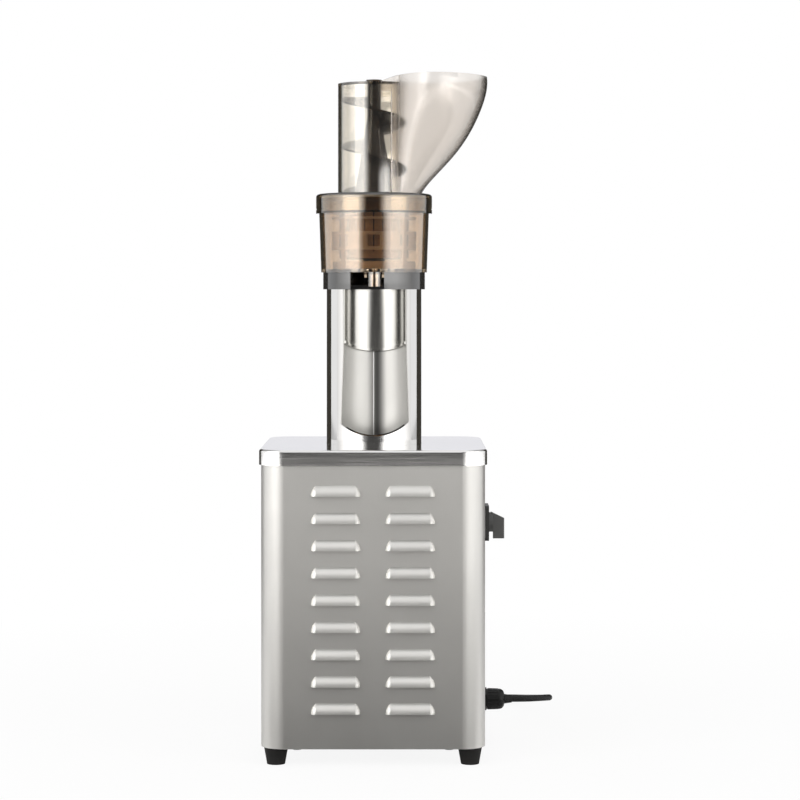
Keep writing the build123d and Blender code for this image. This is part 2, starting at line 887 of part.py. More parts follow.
def drive_shaft():
    shaft = disc(drive_radius, shaft_joint + slip_gap / 2, shoulder_z)
    return shaft + hexagon(hex_across, shoulder_z, shoulder_z + hex_length)


def run_capacitor():
    place = (capacitor_x, capacitor_y)
    top = base_top + capacitor_height
    can = disc(capacitor_radius, base_top, top, place)
    wide, thick, tall = capacitor_terminal
    for side in (-1, 1):
        x = capacitor_x + side * capacitor_terminal_spread / 2
        across = (capacitor_y - wide / 2, capacitor_y + wide / 2)
        can += slab((x - thick / 2, x + thick / 2), across, (top, top + tall))
    return can


def capacitor_clamp():
    place = (capacitor_x, capacitor_y)
    bore = capacitor_radius + fit_gap
    clamp = ring(bore + clamp_sheet, bore, base_top, base_top + clamp_height, place)
    foot_y = capacitor_y + bore + clamp_sheet / 2
    half = clamp_height / 2
    foot = slab(
        (capacitor_x - half, capacitor_x + half),
        (foot_y, foot_y + clamp_foot_length),
        (base_top, base_top + clamp_sheet),
    )
    return clamp + (foot - disc(bore, base_top, base_top + clamp_sheet, place))


def terminal_block():
    low, high = base_top, base_top + terminal_height
    start = terminal_y - terminal_length / 2
    across = (terminal_x - terminal_width / 2, terminal_x + terminal_width / 2)
    block = slab(across, (start, start + terminal_length), (low, high))
    pitch = terminal_length / terminal_ways
    for way in range(terminal_ways):
        y = start + pitch * (way + 0.5)
        block -= disc(terminal_screw_radius, high - terminal_hole_depth, high, (terminal_x, y))
        block -= rod(terminal_wire_radius, *across, y, low + terminal_hole_depth)
    return block


def selector_plate():
    side = selector_plate_side
    face = RectangleRounded(side, side, selector_plate_corner)
    plate = Pos(half_width, selector_y, selector_z) * Rot(0, 90, 0) * extrude(face, selector_plate_thickness)
    return plate - rod(selector_spindle_radius + slip_gap, half_width, selector_face, selector_y, selector_z)


def selector_knob():
    hub = rod(selector_hub_radius, selector_face + slip_gap, selector_hub_end, selector_y, selector_z)
    back = selector_face + slip_gap + selector_hub_reach / 2
    outline = Polyline(
        (back, selector_grip_top),
        (selector_reach, selector_grip_top - selector_grip_bevel),
        (selector_reach, -selector_grip_foot),
        (selector_hub_end, -selector_grip_foot),
        (selector_hub_end, -selector_grip_step),
        (back, -selector_grip_step),
        close=True,
    )
    grip = extrude(Plane.XZ * make_face(outline), selector_grip_width / 2, both=True)
    grip = fillet(grip.edges().filter_by(Axis.Z).group_by(Axis.X)[-1], selector_grip_round)
    knob = hub + Pos(0, selector_y, selector_z) * grip
    spindle_end = selector_hub_end - slip_gap
    return knob - rod(selector_spindle_radius + fit_gap, selector_face, spindle_end, selector_y, selector_z)


def selector_spindle():
    start = half_width - body_sheet - selector_body_depth + 2 * selector_spindle_radius
    return rod(selector_spindle_radius, start, selector_hub_end - slip_gap, selector_y, selector_z)


def selector_body():
    inner = half_width - body_sheet
    half = selector_body_side / 2
    body = slab(
        (inner - selector_body_depth, inner),
        (selector_y - half, selector_y + half),
        (selector_z - half, selector_z + half),
    )
    start = inner - selector_body_depth + selector_spindle_radius
    return body - rod(selector_spindle_radius + running_gap, start, inner, selector_y, selector_z)


def gland_body():
    body = hexagon_x(gland_hex_across, half_width, half_width + gland_hex_thickness, gland_y, gland_z)
    return body + rod(gland_thread_radius, half_width - gland_thread_length, half_width, gland_y, gland_z)


def gland_nut():
    start = half_width + gland_hex_thickness
    nut = rod(gland_nut_radius, start, sleeve_x, gland_y, gland_z)
    return fillet(nut.edges().group_by(Axis.X)[-1], gland_nut_round)


def gland_locknut():
    inner = half_width - body_sheet
    nut = hexagon_x(locknut_across, inner - locknut_thickness, inner, gland_y, gland_z)
    return nut - rod(gland_thread_radius + fit_gap, inner - locknut_thickness, inner, gland_y, gland_z)


def cord_sleeve():
    sleeve = Cone(sleeve_root_radius, sleeve_tip_radius, sleeve_length)
    return Pos(sleeve_x + sleeve_length / 2, gland_y, gland_z) * Rot(0, 90, 0) * sleeve


def tube_along(path, radius):
    """Round bar swept along a path."""
    section = Plane(origin=path @ 0, z_dir=path % 0) * Circle(radius)
    return sweep(section, path=path)


def section_share(tube, path):
    """Tube's volume over its section times its length, which is 1 for a whole tube."""
    return round(tube.volume / (pi * cord_radius**2 * path.length), 4)


def cord_bends():
    """Radius at each inner point of the lead: as large as its two runs allow."""
    points = [Vector(*point) for point in cord_points]
    bends = []
    for before, here, after in zip(points, points[1:], points[2:]):
        turn = radians((here - before).get_angle(after - here))
        run = min((here - before).length, (after - here).length)
        bends.append(cord_bend_share * run / tan(turn / 2))
    return bends


def power_cord():
    bends = cord_bends()
    path = FilletPolyline(*cord_points, radius=bends)
    tube = tube_along(path, cord_radius)
    print("lead radii:", [round(bend, 1) for bend in bends])
    print("lead volume over section times length:", section_share(tube, path))
    print("lead length:", round(path.length, 1))
    return tube


def coil_arcs():
    """Half turns of the coil: inwards on the floor, one that climbs, then outwards on top.

    Each is its start, middle and end. The first starts on the side away from the box."""
    count_in = coil_half_turns_in
    total = count_in + 1 + coil_half_turns_out
    arcs = []
    x, y, side = coil_x, coil_far_y, -1
    for turn in range(total):
        steps = min(turn, 2 * count_in - turn)
        radius = coil_first_radius - steps * coil_pitch / 2
        start_z = coil_low_z if turn <= count_in else coil_high_z
        end_z = coil_low_z if turn < count_in else coil_high_z
        end_y = y + 2 * side * radius
        middle = (x + side * radius, (y + end_y) / 2, (start_z + end_z) / 2)
        arcs.append(((x, y, start_z), middle, (x, end_y, end_z)))
        y, side = end_y, -side
    return arcs


def coil_self_gap(path):
    """Least room between the coil's own turns, on points along it."""
    count = ceil(path.length / (cord_radius / 2))
    points = [path @ (step / count) for step in range(count + 1)]
    skip = ceil(3 * pi * cord_radius / (path.length / count))
    least = min(
        (points[i] - points[j]).length for i in range(count + 1) for j in range(i + skip, count + 1)
    )
    return least - 2 * cord_radius


def coil_path():
    arcs = coil_arcs()
    first, last = arcs[0][0], arcs[-1][2]
    edges = [Line((first[0] + 2 * cord_radius, first[1], first[2]), first)]
    edges += [ThreePointArc(*arc) for arc in arcs]
    edges.append(Line(last, (last[0] - coil_tail, last[1], last[2])))
    return Wire(edges)


def cord_coil():
    path = coil_path()
    tube = tube_along(path, cord_radius)
    print("coil least gap:", round(coil_self_gap(path), 2))
    print("coil volume over section times length:", section_share(tube, path))
    print("coil length:", round(path.length, 1))
    return tube


def cord_tie():
    middles = [arc[1] for arc in coil_arcs() if arc[1][0] < coil_x]
    turns = [coil_x - middle[0] for middle in middles]
    y = sum(middle[1] for middle in middles) / len(middles)
    room = cord_radius + tie_side_gap
    outer = (coil_x - max(turns) - room, coil_x - min(turns) + room)
    height = (coil_low_z - cord_radius - tie_gap, coil_high_z + cord_radius + tie_gap)
    along = (y - tie_width / 2, y + tie_width / 2)
    band = slab(
        (outer[0] - tie_sheet, outer[1] + tie_sheet), along, (height[0] - tie_sheet, height[1] + tie_sheet)
    )
    return band - slab(outer, along, height)


def plug_place():
    last = coil_arcs()[-1][2]
    return last[0] - coil_tail - slip_gap, last[1], last[2]


def plug_body():
    x, y, z = plug_place()
    sleeve = Cone(plug_sleeve_radius, plug_neck_radius, plug_sleeve_length)
    sleeve = Pos(x - plug_sleeve_length / 2, y, z) * Rot(0, -90, 0) * sleeve
    start = x - plug_sleeve_length
    body = slab((start - plug_length, start), (y - plug_width / 2, y + plug_width / 2), (0, 2 * z))
    body = fillet(body.edges().filter_by(Axis.X), plug_round)
    return body + sleeve


def plug_pins():
    x, y, z = plug_place()
    face = x - plug_sleeve_length - plug_length
    pins = []
    for side in (-1, 1):
        blade_y = y + side * blade_spread / 2
        pins.append(
            slab(
                (face - blade_length, face),
                (blade_y - blade_thickness / 2, blade_y + blade_thickness / 2),
                (z + earth_pin_drop / 2 - blade_width / 2, z + earth_pin_drop / 2 + blade_width / 2),
            )
        )
    pins.append(rod(earth_pin_radius, face - earth_pin_length, face, y, z - earth_pin_drop))
    return pins


def outlet_gap():
    """Gap in the seat's front for the juice nozzle."""
    return slab(
        (outlet_x - outlet_width / 2, outlet_x + outlet_width / 2),
        (-seat_radius - slip_gap, outlet_depth - seat_radius),
        (column_top - seat_spigot_depth, seat_top),
    )


def bowl_seat():
    floor_top = column_top + seat_floor
    seat = disc(seat_radius, column_top, seat_top) - disc(seat_radius - seat_wall, floor_top, seat_top)
    hub = top_bearing[0] + fit_gap + seat_hub_wall
    seat += disc(hub, column_top, floor_top + top_bearing[1])
    spigot = column_bore - slip_gap
    seat += ring(spigot, spigot - seat_spigot_wall, column_top - seat_spigot_depth, column_top)
    niche_clear = niche_radius + niche_sheet + slip_gap
    seat -= disc(niche_clear, column_top - seat_spigot_depth, column_top, (niche_x, niche_y))
    seat -= pocket(top_bearing, floor_top, floor_top + top_bearing[1])
    seat -= disc(drive_radius + slip_gap, column_top, floor_top)
    seat -= outlet_gap()
    half = spout_width / 2 + slip_gap
    spout_low = seat_top - spout_height - slip_gap
    return seat - slab((-half, half), (spout_start - slip_gap, seat_radius), (spout_low, seat_top))


def bowl():
    skirt_radius = bowl_top_radius
    shell = turned(
        (
            (0, seat_top),
            (bowl_bottom_radius, seat_top),
            (skirt_radius, skirt_low),
            (skirt_radius, bowl_top),
            (skirt_radius - ledge_wall, bowl_top),
            (skirt_radius - ledge_wall, ledge_z),
            (skirt_radius - bowl_wall, ledge_z),
            (skirt_radius - bowl_wall, skirt_low),
            (bowl_bottom_radius - bowl_wall, bowl_floor_top),
            (0, bowl_floor_top),
        )
    )
    shell += disc(nozzle_bore_radius + nozzle_wall, seat_top - nozzle_drop, seat_top, (nozzle_x, nozzle_y))
    half = spout_width / 2
    shell += slab((-half, half), (spout_start, spout_end), (seat_top - spout_height, seat_top))
    channel = half - spout_wall
    shell -= slab(
        (-channel, channel),
        (spout_start + spout_wall, spout_end),
        (seat_top - spout_height + spout_wall, seat_top - spout_wall),
    )
    shell -= slab(
        (-channel, channel),
        (spout_start + spout_wall, spout_start + spout_wall + spout_inlet_length),
        (seat_top - spout_height + spout_wall, bowl_floor_top),
    )
    shell -= disc(nozzle_bore_radius, seat_top - nozzle_drop, bowl_floor_top, (nozzle_x, nozzle_y))
    shell -= disc(seal_radius + fit_gap, seat_top, bowl_floor_top)
    return shell + disc(idler_pin_radius, bowl_floor_top, wiper_low + idler_width, (idler_x, 0))


def shaft_seal():
    return ring(seal_radius, drive_radius + running_gap, seat_top, bowl_floor_top)


auger_core_low = auger_low + auger_gear_width + auger_gear_neck


def auger_core():
    neck = auger_gear_radius - gear_module * gear_dedendum
    return turned(
        (
            (0, auger_low),
            (neck, auger_low),
            (neck, auger_core_low),
            (auger_core_radius, auger_core_low),
            (auger_core_radius, auger_core_low + auger_core_height),
            (auger_waist_radius, lid_low),
            (auger_stem_radius, stem_top - auger_stem_length),
            (auger_stem_radius, stem_top),
            (auger_pivot_radius, stem_top),
            (auger_pivot_radius, stem_top + auger_pivot_length),
            (0, stem_top + auger_pivot_length),
        )
    )


def auger_flight():
    low = auger_core_low + auger_core_height
    height = stem_top - flight_top_drop - low
    inner = auger_stem_radius - flight_root_depth
    middle = (inner + auger_radius) / 2
    path = Helix(flight_pitch, height, middle, lefthand=True)
    section = Pos(middle, 0, 0) * Plane.XZ * Rectangle(auger_radius - inner, flight_sheet)
    flight = sweep(section, path=path, is_frenet=True)
    return Pos(0, 0, low) * Rot(0, 0, flight_start_turn) * flight


def auger():
    core = Rot(0, 0, core_seam_turn) * auger_core()
    core += gear(auger_gear_teeth, 0, auger_low, auger_low + auger_gear_width)
    core -= hexagon(hex_across + 2 * socket_gap, auger_low, shoulder_z + hex_length + slip_gap)
    return core + auger_flight()


def idler_gear():
    wheel = gear(idler_teeth, 180 / idler_teeth, wiper_low, wiper_low + idler_width)
    wheel -= disc(idler_pin_radius + running_gap, wiper_low, wiper_low + idler_width)
    return Pos(idler_x, 0, 0) * wheel


def strainer():
    basket = ring(strainer_radius, strainer_bore, strainer_low, ledge_z)
    basket += ring(bowl_top_radius - ledge_wall - slip_gap, strainer_bore, ledge_z, ledge_z + strainer_flange)
    low = strainer_low + slit_first_lift
    slit = slab((0, 2 * strainer_radius), (-slit_width / 2, slit_width / 2), (low, low + slit_height))
    slits = [Rot(0, 0, 360 * turn / slit_count) * slit for turn in range(slit_count)]
    return basket - slits


def wiper_post_turns():
    return [360 * (turn + 0.5) / wiper_post_count for turn in range(wiper_post_count)]


def wiper_frame():
    high = wiper_low + wiper_ring_width
    frame = disc(wiper_ring_radius, wiper_low, high)
    teeth = gear_face(wiper_gear_teeth, 180 / wiper_gear_teeth, -tooth_thinning, gear_dedendum, gear_addendum)
    frame -= Pos(0, 0, wiper_low) * extrude(teeth, wiper_ring_width)
    band_low = wiper_low + wiper_band_lift
    band_high = band_low + wiper_band_height
    band_bore = wiper_radius - wiper_band_sheet
    frame += ring(wiper_radius, band_bore, band_low, band_high)
    margin = (wiper_band_height - wiper_window_height) / 2
    half = wiper_radius * tan(radians(wiper_window_angle / 2))
    window = slab((0, 2 * wiper_radius), (-half, half), (band_low + margin, band_high - margin))
    frame -= [Rot(0, 0, 360 * turn / wiper_window_count) * window for turn in range(wiper_window_count)]
    top = wiper_low + wiper_post_height
    frame += ring(wiper_radius, band_bore, top - wiper_band_sheet, top)
    post = slab((band_bore, wiper_radius), (-wiper_post_width / 2, wiper_post_width / 2), (wiper_low, top))
    posts = [Rot(0, 0, turn) * post for turn in wiper_post_turns()]
    return (frame + posts) & disc(wiper_radius, wiper_low, top)


def wiper_blades():
    low = strainer_low + slip_gap
    high = wiper_low + wiper_post_height
    bore = wiper_radius - wiper_band_sheet
    blade = slab((strainer_radius + slip_gap, bore), (-blade_sheet / 2, blade_sheet / 2), (low, high))
    blade &= disc(bore - fit_gap, low, high)
    return [Rot(0, 0, turn) * blade for turn in wiper_post_turns()]


def lid_gasket():
    return ring(bowl_top_radius, bowl_top_radius - gasket_width, bowl_top, lid_low)


def feed_lid():
    lid = disc(lid_radius, skirt_low, lid_top)
    lid = fillet(lid.edges().group_by(Axis.Z)[-1], lid_edge_round)
    groove = skirt_low + lid_bead_height
    lid -= ring(lid_radius, lid_radius - lid_groove_depth, groove, groove + lid_groove_height)
    lid -= disc(bowl_top_radius + slip_gap, skirt_low, lid_low)
    lid += disc(tube_radius, lid_low, tube_top)
    lid -= disc(tube_bore, lid_low, tube_top - tube_cap)
    lid -= slab((feed_cut_x, 2 * tube_radius), (-tube_radius, tube_radius), (lid_top, tube_top))
    return lid - disc(auger_pivot_radius + bush_wall + fit_gap, tube_top - tube_cap, tube_top)


def top_bush():
    body = disc(auger_pivot_radius + bush_wall, tube_top - tube_cap, tube_top)
    body += disc(bush_flange_radius, tube_top, tube_top + bush_rise)
    bore_high = stem_top + auger_pivot_length + slip_gap
    return body - disc(auger_pivot_radius + running_gap, tube_top - tube_cap, bore_high)


def hopper_section(section, wall):
    """Outline of the hopper at one height, drawn in by a wall."""
    share, reach, half, widest = section
    edge = hopper_edge_y - hopper_slant * wall
    curve = Spline(
        (feed_cut_x, -edge),
        (widest, wall - half),
        (reach - wall, 0),
        (widest, half - wall),
        (feed_cut_x, edge),
    )
    closing = Line((feed_cut_x, edge), (feed_cut_x, -edge))
    return Pos(0, 0, lid_top + share * hopper_height) * make_face(curve + closing)


def hopper_wrap(angle, low, high):
    """Strip round the tube beside the feed cut, on both sides."""
    inner = tube_radius + slip_gap
    strip = ring(inner + hopper_flange_sheet, inner, low, high)
    cut_turn = degrees(acos(feed_cut_x / tube_radius))
    reach = 2 * tube_radius
    beyond = Rot(0, 0, angle) * slab((-reach, reach), (0, reach), (low, high))
    before = Rot(0, 0, cut_turn - hopper_flange_sheet) * slab((-reach, reach), (-reach, 0), (low, high))
    left = strip - beyond - before
    return left + mirror(left, Plane.XZ)


def hopper_collar():
    """Strip round the tube's top that carries the rim on and falls to the tube's own rim."""
    strip = hopper_wrap(hopper_collar_angle, tube_top - hopper_collar_height, lid_top + hopper_height)
    start_x = tube_radius * cos(radians(hopper_collar_angle))
    fall = degrees(atan2(hopper_rim_rise, feed_cut_x - start_x))
    reach = 2 * tube_radius
    above = slab((-reach, reach), (-reach, reach), (0, reach))
    return strip - Pos(start_x, 0, tube_top) * Rot(0, -fall, 0) * above


def hopper():
    rim = lid_top + hopper_height
    outer = loft([hopper_section(section, 0) for section in hopper_sections])
    inner = loft([hopper_section(section, hopper_wall) for section in hopper_sections])
    funnel = outer - inner
    funnel += hopper_wrap(hopper_flange_angle, lid_top, tube_top)
    funnel += hopper_collar()
    return funnel - disc(tube_radius + slip_gap, lid_top, rim)


nodes = {
    "body_shell": body_shell,
    "top_cover": top_cover,
    "base_plate": base_plate,
    "rubber_feet": rubber_feet,
    "foot_screws": foot_screws,
    "frame_posts": frame_posts,
    "post_screws": post_screws,
    "support_plate": support_plate,
    "column_tube": column_tube,
    "column_flange": column_flange,
    "column_bolts": column_bolts,
    "niche_liner": niche_liner,
    "splash_guard": splash_guard,
    "ball_bearings": ball_bearings,
    "gearbox_case": gearbox_case,
    "gearbox_cover": gearbox_cover,
    "gearbox_bolts": gearbox_bolts,
    "motor_can": motor_can,
    "motor_screws": motor_screws,
    "motor_bell": motor_bell,
    "stator_core": stator_core,
    "stator_windings": stator_windings,
    "rotor_core": rotor_core,
    "rotor_shaft": rotor_shaft,
    "cooling_fan": cooling_fan,
    "counter_gear": counter_gear,
    "counter_shaft": counter_shaft,
    "output_gear": output_gear,
    "output_shaft": output_shaft,
    "shaft_coupling": shaft_coupling,
    "drive_shaft": drive_shaft,
    "run_capacitor": run_capacitor,
    "capacitor_clamp": capacitor_clamp,
    "terminal_block": terminal_block,
    "selector_plate": selector_plate,
    "selector_knob": selector_knob,
    "selector_spindle": selector_spindle,
    "selector_body": selector_body,
    "gland_body": gland_body,
    "gland_nut": gland_nut,
    "gland_locknut": gland_locknut,
    "cord_sleeve": cord_sleeve,
    "power_cord": power_cord,
    "cord_coil": cord_coil,
    "cord_tie": cord_tie,
    "plug_body": plug_body,
    "plug_pins": plug_pins,
    "bowl_seat": bowl_seat,
    "bowl": bowl,
    "shaft_seal": shaft_seal,
    "auger": auger,
    "idler_gear": idler_gear,
    "strainer": strainer,
    "wiper_frame": wiper_frame,
    "wiper_blades": wiper_blades,
    "lid_gasket": lid_gasket,
    "feed_lid": feed_lid,
    "top_bush": top_bush,
    "hopper": hopper,
}

os.makedirs("parts", exist_ok=True)
for name, make in nodes.items():
    piece = make()
    solids = piece if isinstance(piece, list) else [piece]
    placed = [Pos(axis_x, 0, 0) * solid for solid in solids]
    export_step(placed[0] if len(placed) == 1 else Compound(children=placed), f"parts/{name}.step")
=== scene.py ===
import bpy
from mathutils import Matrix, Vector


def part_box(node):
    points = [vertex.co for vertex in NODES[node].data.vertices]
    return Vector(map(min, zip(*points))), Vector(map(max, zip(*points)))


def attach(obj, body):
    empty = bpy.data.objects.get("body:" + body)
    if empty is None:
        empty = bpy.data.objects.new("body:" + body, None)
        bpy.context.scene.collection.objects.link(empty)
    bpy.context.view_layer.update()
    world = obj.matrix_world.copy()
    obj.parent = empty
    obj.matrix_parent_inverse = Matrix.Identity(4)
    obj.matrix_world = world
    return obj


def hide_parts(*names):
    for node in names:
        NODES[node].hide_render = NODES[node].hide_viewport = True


bl_info = {
    "name": "Slow juicer looks",
    "version": (1, 0, 0),
    "blender": (4, 5, 0),
    "location": "View3D > Sidebar > Juicer",
    "description": "Finishes, mains lead and studio for a market-stall slow juicer",
    "category": "Object",
}

import math

import bmesh
import bpy
from bpy.props import FloatProperty, FloatVectorProperty, IntProperty, PointerProperty
from bpy.types import Operator, Panel, PropertyGroup
from mathutils import Matrix, Vector

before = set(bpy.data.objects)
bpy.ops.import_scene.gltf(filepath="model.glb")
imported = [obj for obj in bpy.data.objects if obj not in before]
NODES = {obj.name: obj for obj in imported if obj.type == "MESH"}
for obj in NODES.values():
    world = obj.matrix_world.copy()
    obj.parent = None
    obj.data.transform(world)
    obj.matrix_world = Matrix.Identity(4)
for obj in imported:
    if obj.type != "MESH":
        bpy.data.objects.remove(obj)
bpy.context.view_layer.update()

# The column's axis, read from the CAD column. Lengths here are in metres, and the front faces negative Y.
COLUMN_LOW, COLUMN_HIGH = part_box("column_tube")
AXIS_X = (COLUMN_LOW.x + COLUMN_HIGH.x) / 2


class SteelSettings(PropertyGroup):
    """Colours and polish of the stainless steel."""

    satin_colour: FloatVectorProperty(
        name="Satin sheet", description="Colour of the brushed body sheet", subtype="COLOR",
        size=3, min=0, max=1, default=(0.73, 0.721, 0.698))
    satin_roughness: FloatProperty(
        name="Satin roughness", description="How much the body sheet blurs what it mirrors",
        subtype="FACTOR", min=0, max=1, default=0.42)
    edge_width: FloatProperty(
        name="Edge width", description="Width of the body sheet's soft upright edges",
        subtype="DISTANCE", unit="LENGTH", min=0.001, default=0.030)
    edge_fall: FloatProperty(
        name="Edge fall", description="How far the sheet falls away at its upright edges",
        subtype="DISTANCE", unit="LENGTH", min=0, default=0.003)
    polished_colour: FloatVectorProperty(
        name="Polished cover", description="Colour of the top cover", subtype="COLOR",
        size=3, min=0, max=1, default=(0.82, 0.815, 0.81))
    cover_roughness: FloatProperty(
        name="Cover roughness", description="How much the top cover blurs what it mirrors",
        subtype="FACTOR", min=0, max=1, default=0.13)
    column_colour: FloatVectorProperty(
        name="Polished column", description="Colour of the column tube", subtype="COLOR",
        size=3, min=0, max=1, default=(0.78, 0.775, 0.77))
    column_roughness: FloatProperty(
        name="Column roughness", description="How much the column blurs what it mirrors",
        subtype="FACTOR", min=0, max=1, default=0.07)
    guard_colour: FloatVectorProperty(
        name="Splash guard", description="Colour of the polished guard in the cup recess",
        subtype="COLOR", size=3, min=0, max=1, default=(0.57, 0.562, 0.54))
    guard_roughness: FloatProperty(
        name="Guard roughness", description="How much the splash guard blurs what it mirrors",
        subtype="FACTOR", min=0, max=1, default=0.15)
    recess_colour: FloatVectorProperty(
        name="Recess liner", description="Colour of the satin sheet in the cup recess", subtype="COLOR",
        size=3, min=0, max=1, default=(0.60, 0.592, 0.568))
    recess_roughness: FloatProperty(
        name="Recess roughness", description="How much the recess liner blurs what it mirrors",
        subtype="FACTOR", min=0, max=1, default=0.36)
    recess_metal: FloatProperty(
        name="Recess sheen", description="Share of the recess liner's light that it mirrors",
        subtype="FACTOR", min=0, max=1, default=0.6)
    # Painted light on the recess liner: the dark band beside the weld is a painted dark reflection.
    reflection_band_place: FloatProperty(
        name="Seam place", description="How far right of the column's axis the weld's dark band lies",
        subtype="DISTANCE", unit="LENGTH", default=0.0038)
    reflection_band_reach: FloatProperty(
        name="Seam band", description="Half the width of the band that the weld's heat darkened",
        subtype="DISTANCE", unit="LENGTH", min=0, default=0.0125)
    reflection_band_shade: FloatProperty(
        name="Seam shade", description="How much light the dark band still mirrors",
        subtype="FACTOR", min=0, max=1, default=0.13)
    # The bright line on the weld bead is a painted highlight.
    bead_highlight_place: FloatProperty(
        name="Bead place", description="How far right of the column's axis the bright weld bead lies",
        subtype="DISTANCE", unit="LENGTH", default=-0.0004)
    bead_highlight_reach: FloatProperty(
        name="Bead reach", description="Half the width of the bright weld bead",
        subtype="DISTANCE", unit="LENGTH", min=0, default=0.0012)


class ClearSettings(PropertyGroup):
    """Tints of the see-through mouldings."""

    bowl_tint: FloatVectorProperty(
        name="Bowl", description="Tint of the amber bowl", subtype="COLOR",
        size=3, min=0, max=1, default=(0.68, 0.54, 0.39))
    # Painted shade: a dark band on the bowl's foot where it sits on its seat.
    painted_foot_shade: FloatVectorProperty(
        name="Bowl foot", description="Tint of the bowl's edge on its seat", subtype="COLOR",
        size=3, min=0, max=1, default=(0.25, 0.19, 0.13))
    lid_tint: FloatVectorProperty(
        name="Lid", description="Tint of the lid's thick rim", subtype="COLOR",
        size=3, min=0, max=1, default=(0.61, 0.51, 0.37))
    tube_tint: FloatVectorProperty(
        name="Feed tube", description="Tint of the feed tube", subtype="COLOR",
        size=3, min=0, max=1, default=(0.84, 0.80, 0.725))
    hopper_tint: FloatVectorProperty(
        name="Hopper", description="Tint of the hopper", subtype="COLOR",
        size=3, min=0, max=1, default=(0.87, 0.83, 0.79))
    clear_roughness: FloatProperty(
        name="Surface roughness", description="Blur of the bowl's and the lid's surface",
        subtype="FACTOR", min=0, max=1, default=0.05)
    hopper_roughness: FloatProperty(
        name="Hopper roughness", description="Blur of the hopper's surface",
        subtype="FACTOR", min=0, max=1, default=0.15)
    light_bending: FloatProperty(
        name="Index of refraction", description="How strongly the mouldings bend light",
        min=1, max=2, default=1.5)
    coat_bending: FloatProperty(
        name="Skin index", description="Index of refraction of the mouldings' glossy skin",
        min=1, max=3, default=2.2)
    # The lid's darker rim edges are painted shade where the rims are seen edge-on.
    rim_shade: FloatProperty(
        name="Rim shade", description="How much of the light a rim edge lets through",
        subtype="FACTOR", min=0, max=1, default=0.3)
    rim_depth: FloatProperty(
        name="Rim depth", description="Height of the darker rim edges",
        subtype="DISTANCE", unit="LENGTH", min=0, default=0.0025)
    # Painted shade: a clear wall's colour darkens where it is seen edge-on.
    edge_start: FloatProperty(
        name="Edge start", description="How far round a wall turns before it darkens",
        subtype="FACTOR", min=0, max=1, default=0.60)


class MouldingSettings(PropertyGroup):
    """Colours of the plastic and rubber pieces."""

    feet_colour: FloatVectorProperty(
        name="Feet", description="Colour of the rubber feet", subtype="COLOR",
        size=3, min=0, max=1, default=(0.012, 0.0115, 0.011))
    seat_colour: FloatVectorProperty(
        name="Bowl seat", description="Colour of the ring under the bowl", subtype="COLOR",
        size=3, min=0, max=1, default=(0.016, 0.016, 0.017))
    auger_colour: FloatVectorProperty(
        name="Auger", description="Colour of the auger", subtype="COLOR",
        size=3, min=0, max=1, default=(0.028, 0.017, 0.0095))
    strainer_colour: FloatVectorProperty(
        name="Strainer", description="Colour of the strainer", subtype="COLOR",
        size=3, min=0, max=1, default=(0.46, 0.28, 0.13))
    wiper_colour: FloatVectorProperty(
        name="Wiper", description="Colour of the wiper's frame", subtype="COLOR",
        size=3, min=0, max=1, default=(0.75, 0.58, 0.42))
    silicone_colour: FloatVectorProperty(
        name="Silicone", description="Colour of the wiper blades, the seal and the gasket",
        subtype="COLOR", size=3, min=0, max=1, default=(0.62, 0.60, 0.56))
    bush_colour: FloatVectorProperty(
        name="Top bush", description="Colour of the bush on top of the feed tube", subtype="COLOR",
        size=3, min=0, max=1, default=(0.050, 0.032, 0.021))
    knob_colour: FloatVectorProperty(
        name="Selector knob", description="Colour of the selector's knob", subtype="COLOR",
        size=3, min=0, max=1, default=(0.085, 0.085, 0.083))
    plate_colour: FloatVectorProperty(
        name="Selector plate", description="Colour of the plate behind the knob", subtype="COLOR",
        size=3, min=0, max=1, default=(0.030, 0.030, 0.029))
    gland_colour: FloatVectorProperty(
        name="Gland", description="Colour of the cable gland", subtype="COLOR",
        size=3, min=0, max=1, default=(0.006, 0.006, 0.006))
    lead_colour: FloatVectorProperty(
        name="Lead", description="Colour of the mains lead and its plug", subtype="COLOR",
        size=3, min=0, max=1, default=(0.009, 0.009, 0.009))


class LeadSettings(PropertyGroup):
    """Sizes of the mains lead, its coil and its gland's ribs."""

    diameter: FloatProperty(
        name="Diameter", description="Diameter of the lead",
        subtype="DISTANCE", unit="LENGTH", min=0.001, default=0.0075)
    first_radius: FloatProperty(
        name="Coil radius", description="Radius of the coil's first half turn",
        subtype="DISTANCE", unit="LENGTH", min=0.01, default=0.052)
    pitch: FloatProperty(
        name="Coil pitch", description="Room from one turn to the next",
        subtype="DISTANCE", unit="LENGTH", min=0.001, default=0.0082)
    half_turns_in: IntProperty(
        name="Half turns in", description="Half turns of the lower layer", min=1, default=5)
    half_turns_out: IntProperty(
        name="Half turns out", description="Half turns of the upper layer", min=1, default=4)
    tail: FloatProperty(
        name="Tail", description="Straight length from the coil to the plug",
        subtype="DISTANCE", unit="LENGTH", min=0, default=0.048)
    rib_count: IntProperty(
        name="Gland ribs", description="Grip ribs round the gland's nut", min=1, default=18)
    rib_height: FloatProperty(
        name="Rib height", description="How far the grip ribs stand out",
        subtype="DISTANCE", unit="LENGTH", min=0, default=0.0008)
    rib_length: FloatProperty(
        name="Rib length", description="Length of the grip ribs",
        subtype="DISTANCE", unit="LENGTH", min=0, default=0.0125)
    rib_setback: FloatProperty(
        name="Rib setback", description="How far the ribs' middle lies behind the nut's",
        subtype="DISTANCE", unit="LENGTH", min=0, default=0.003)


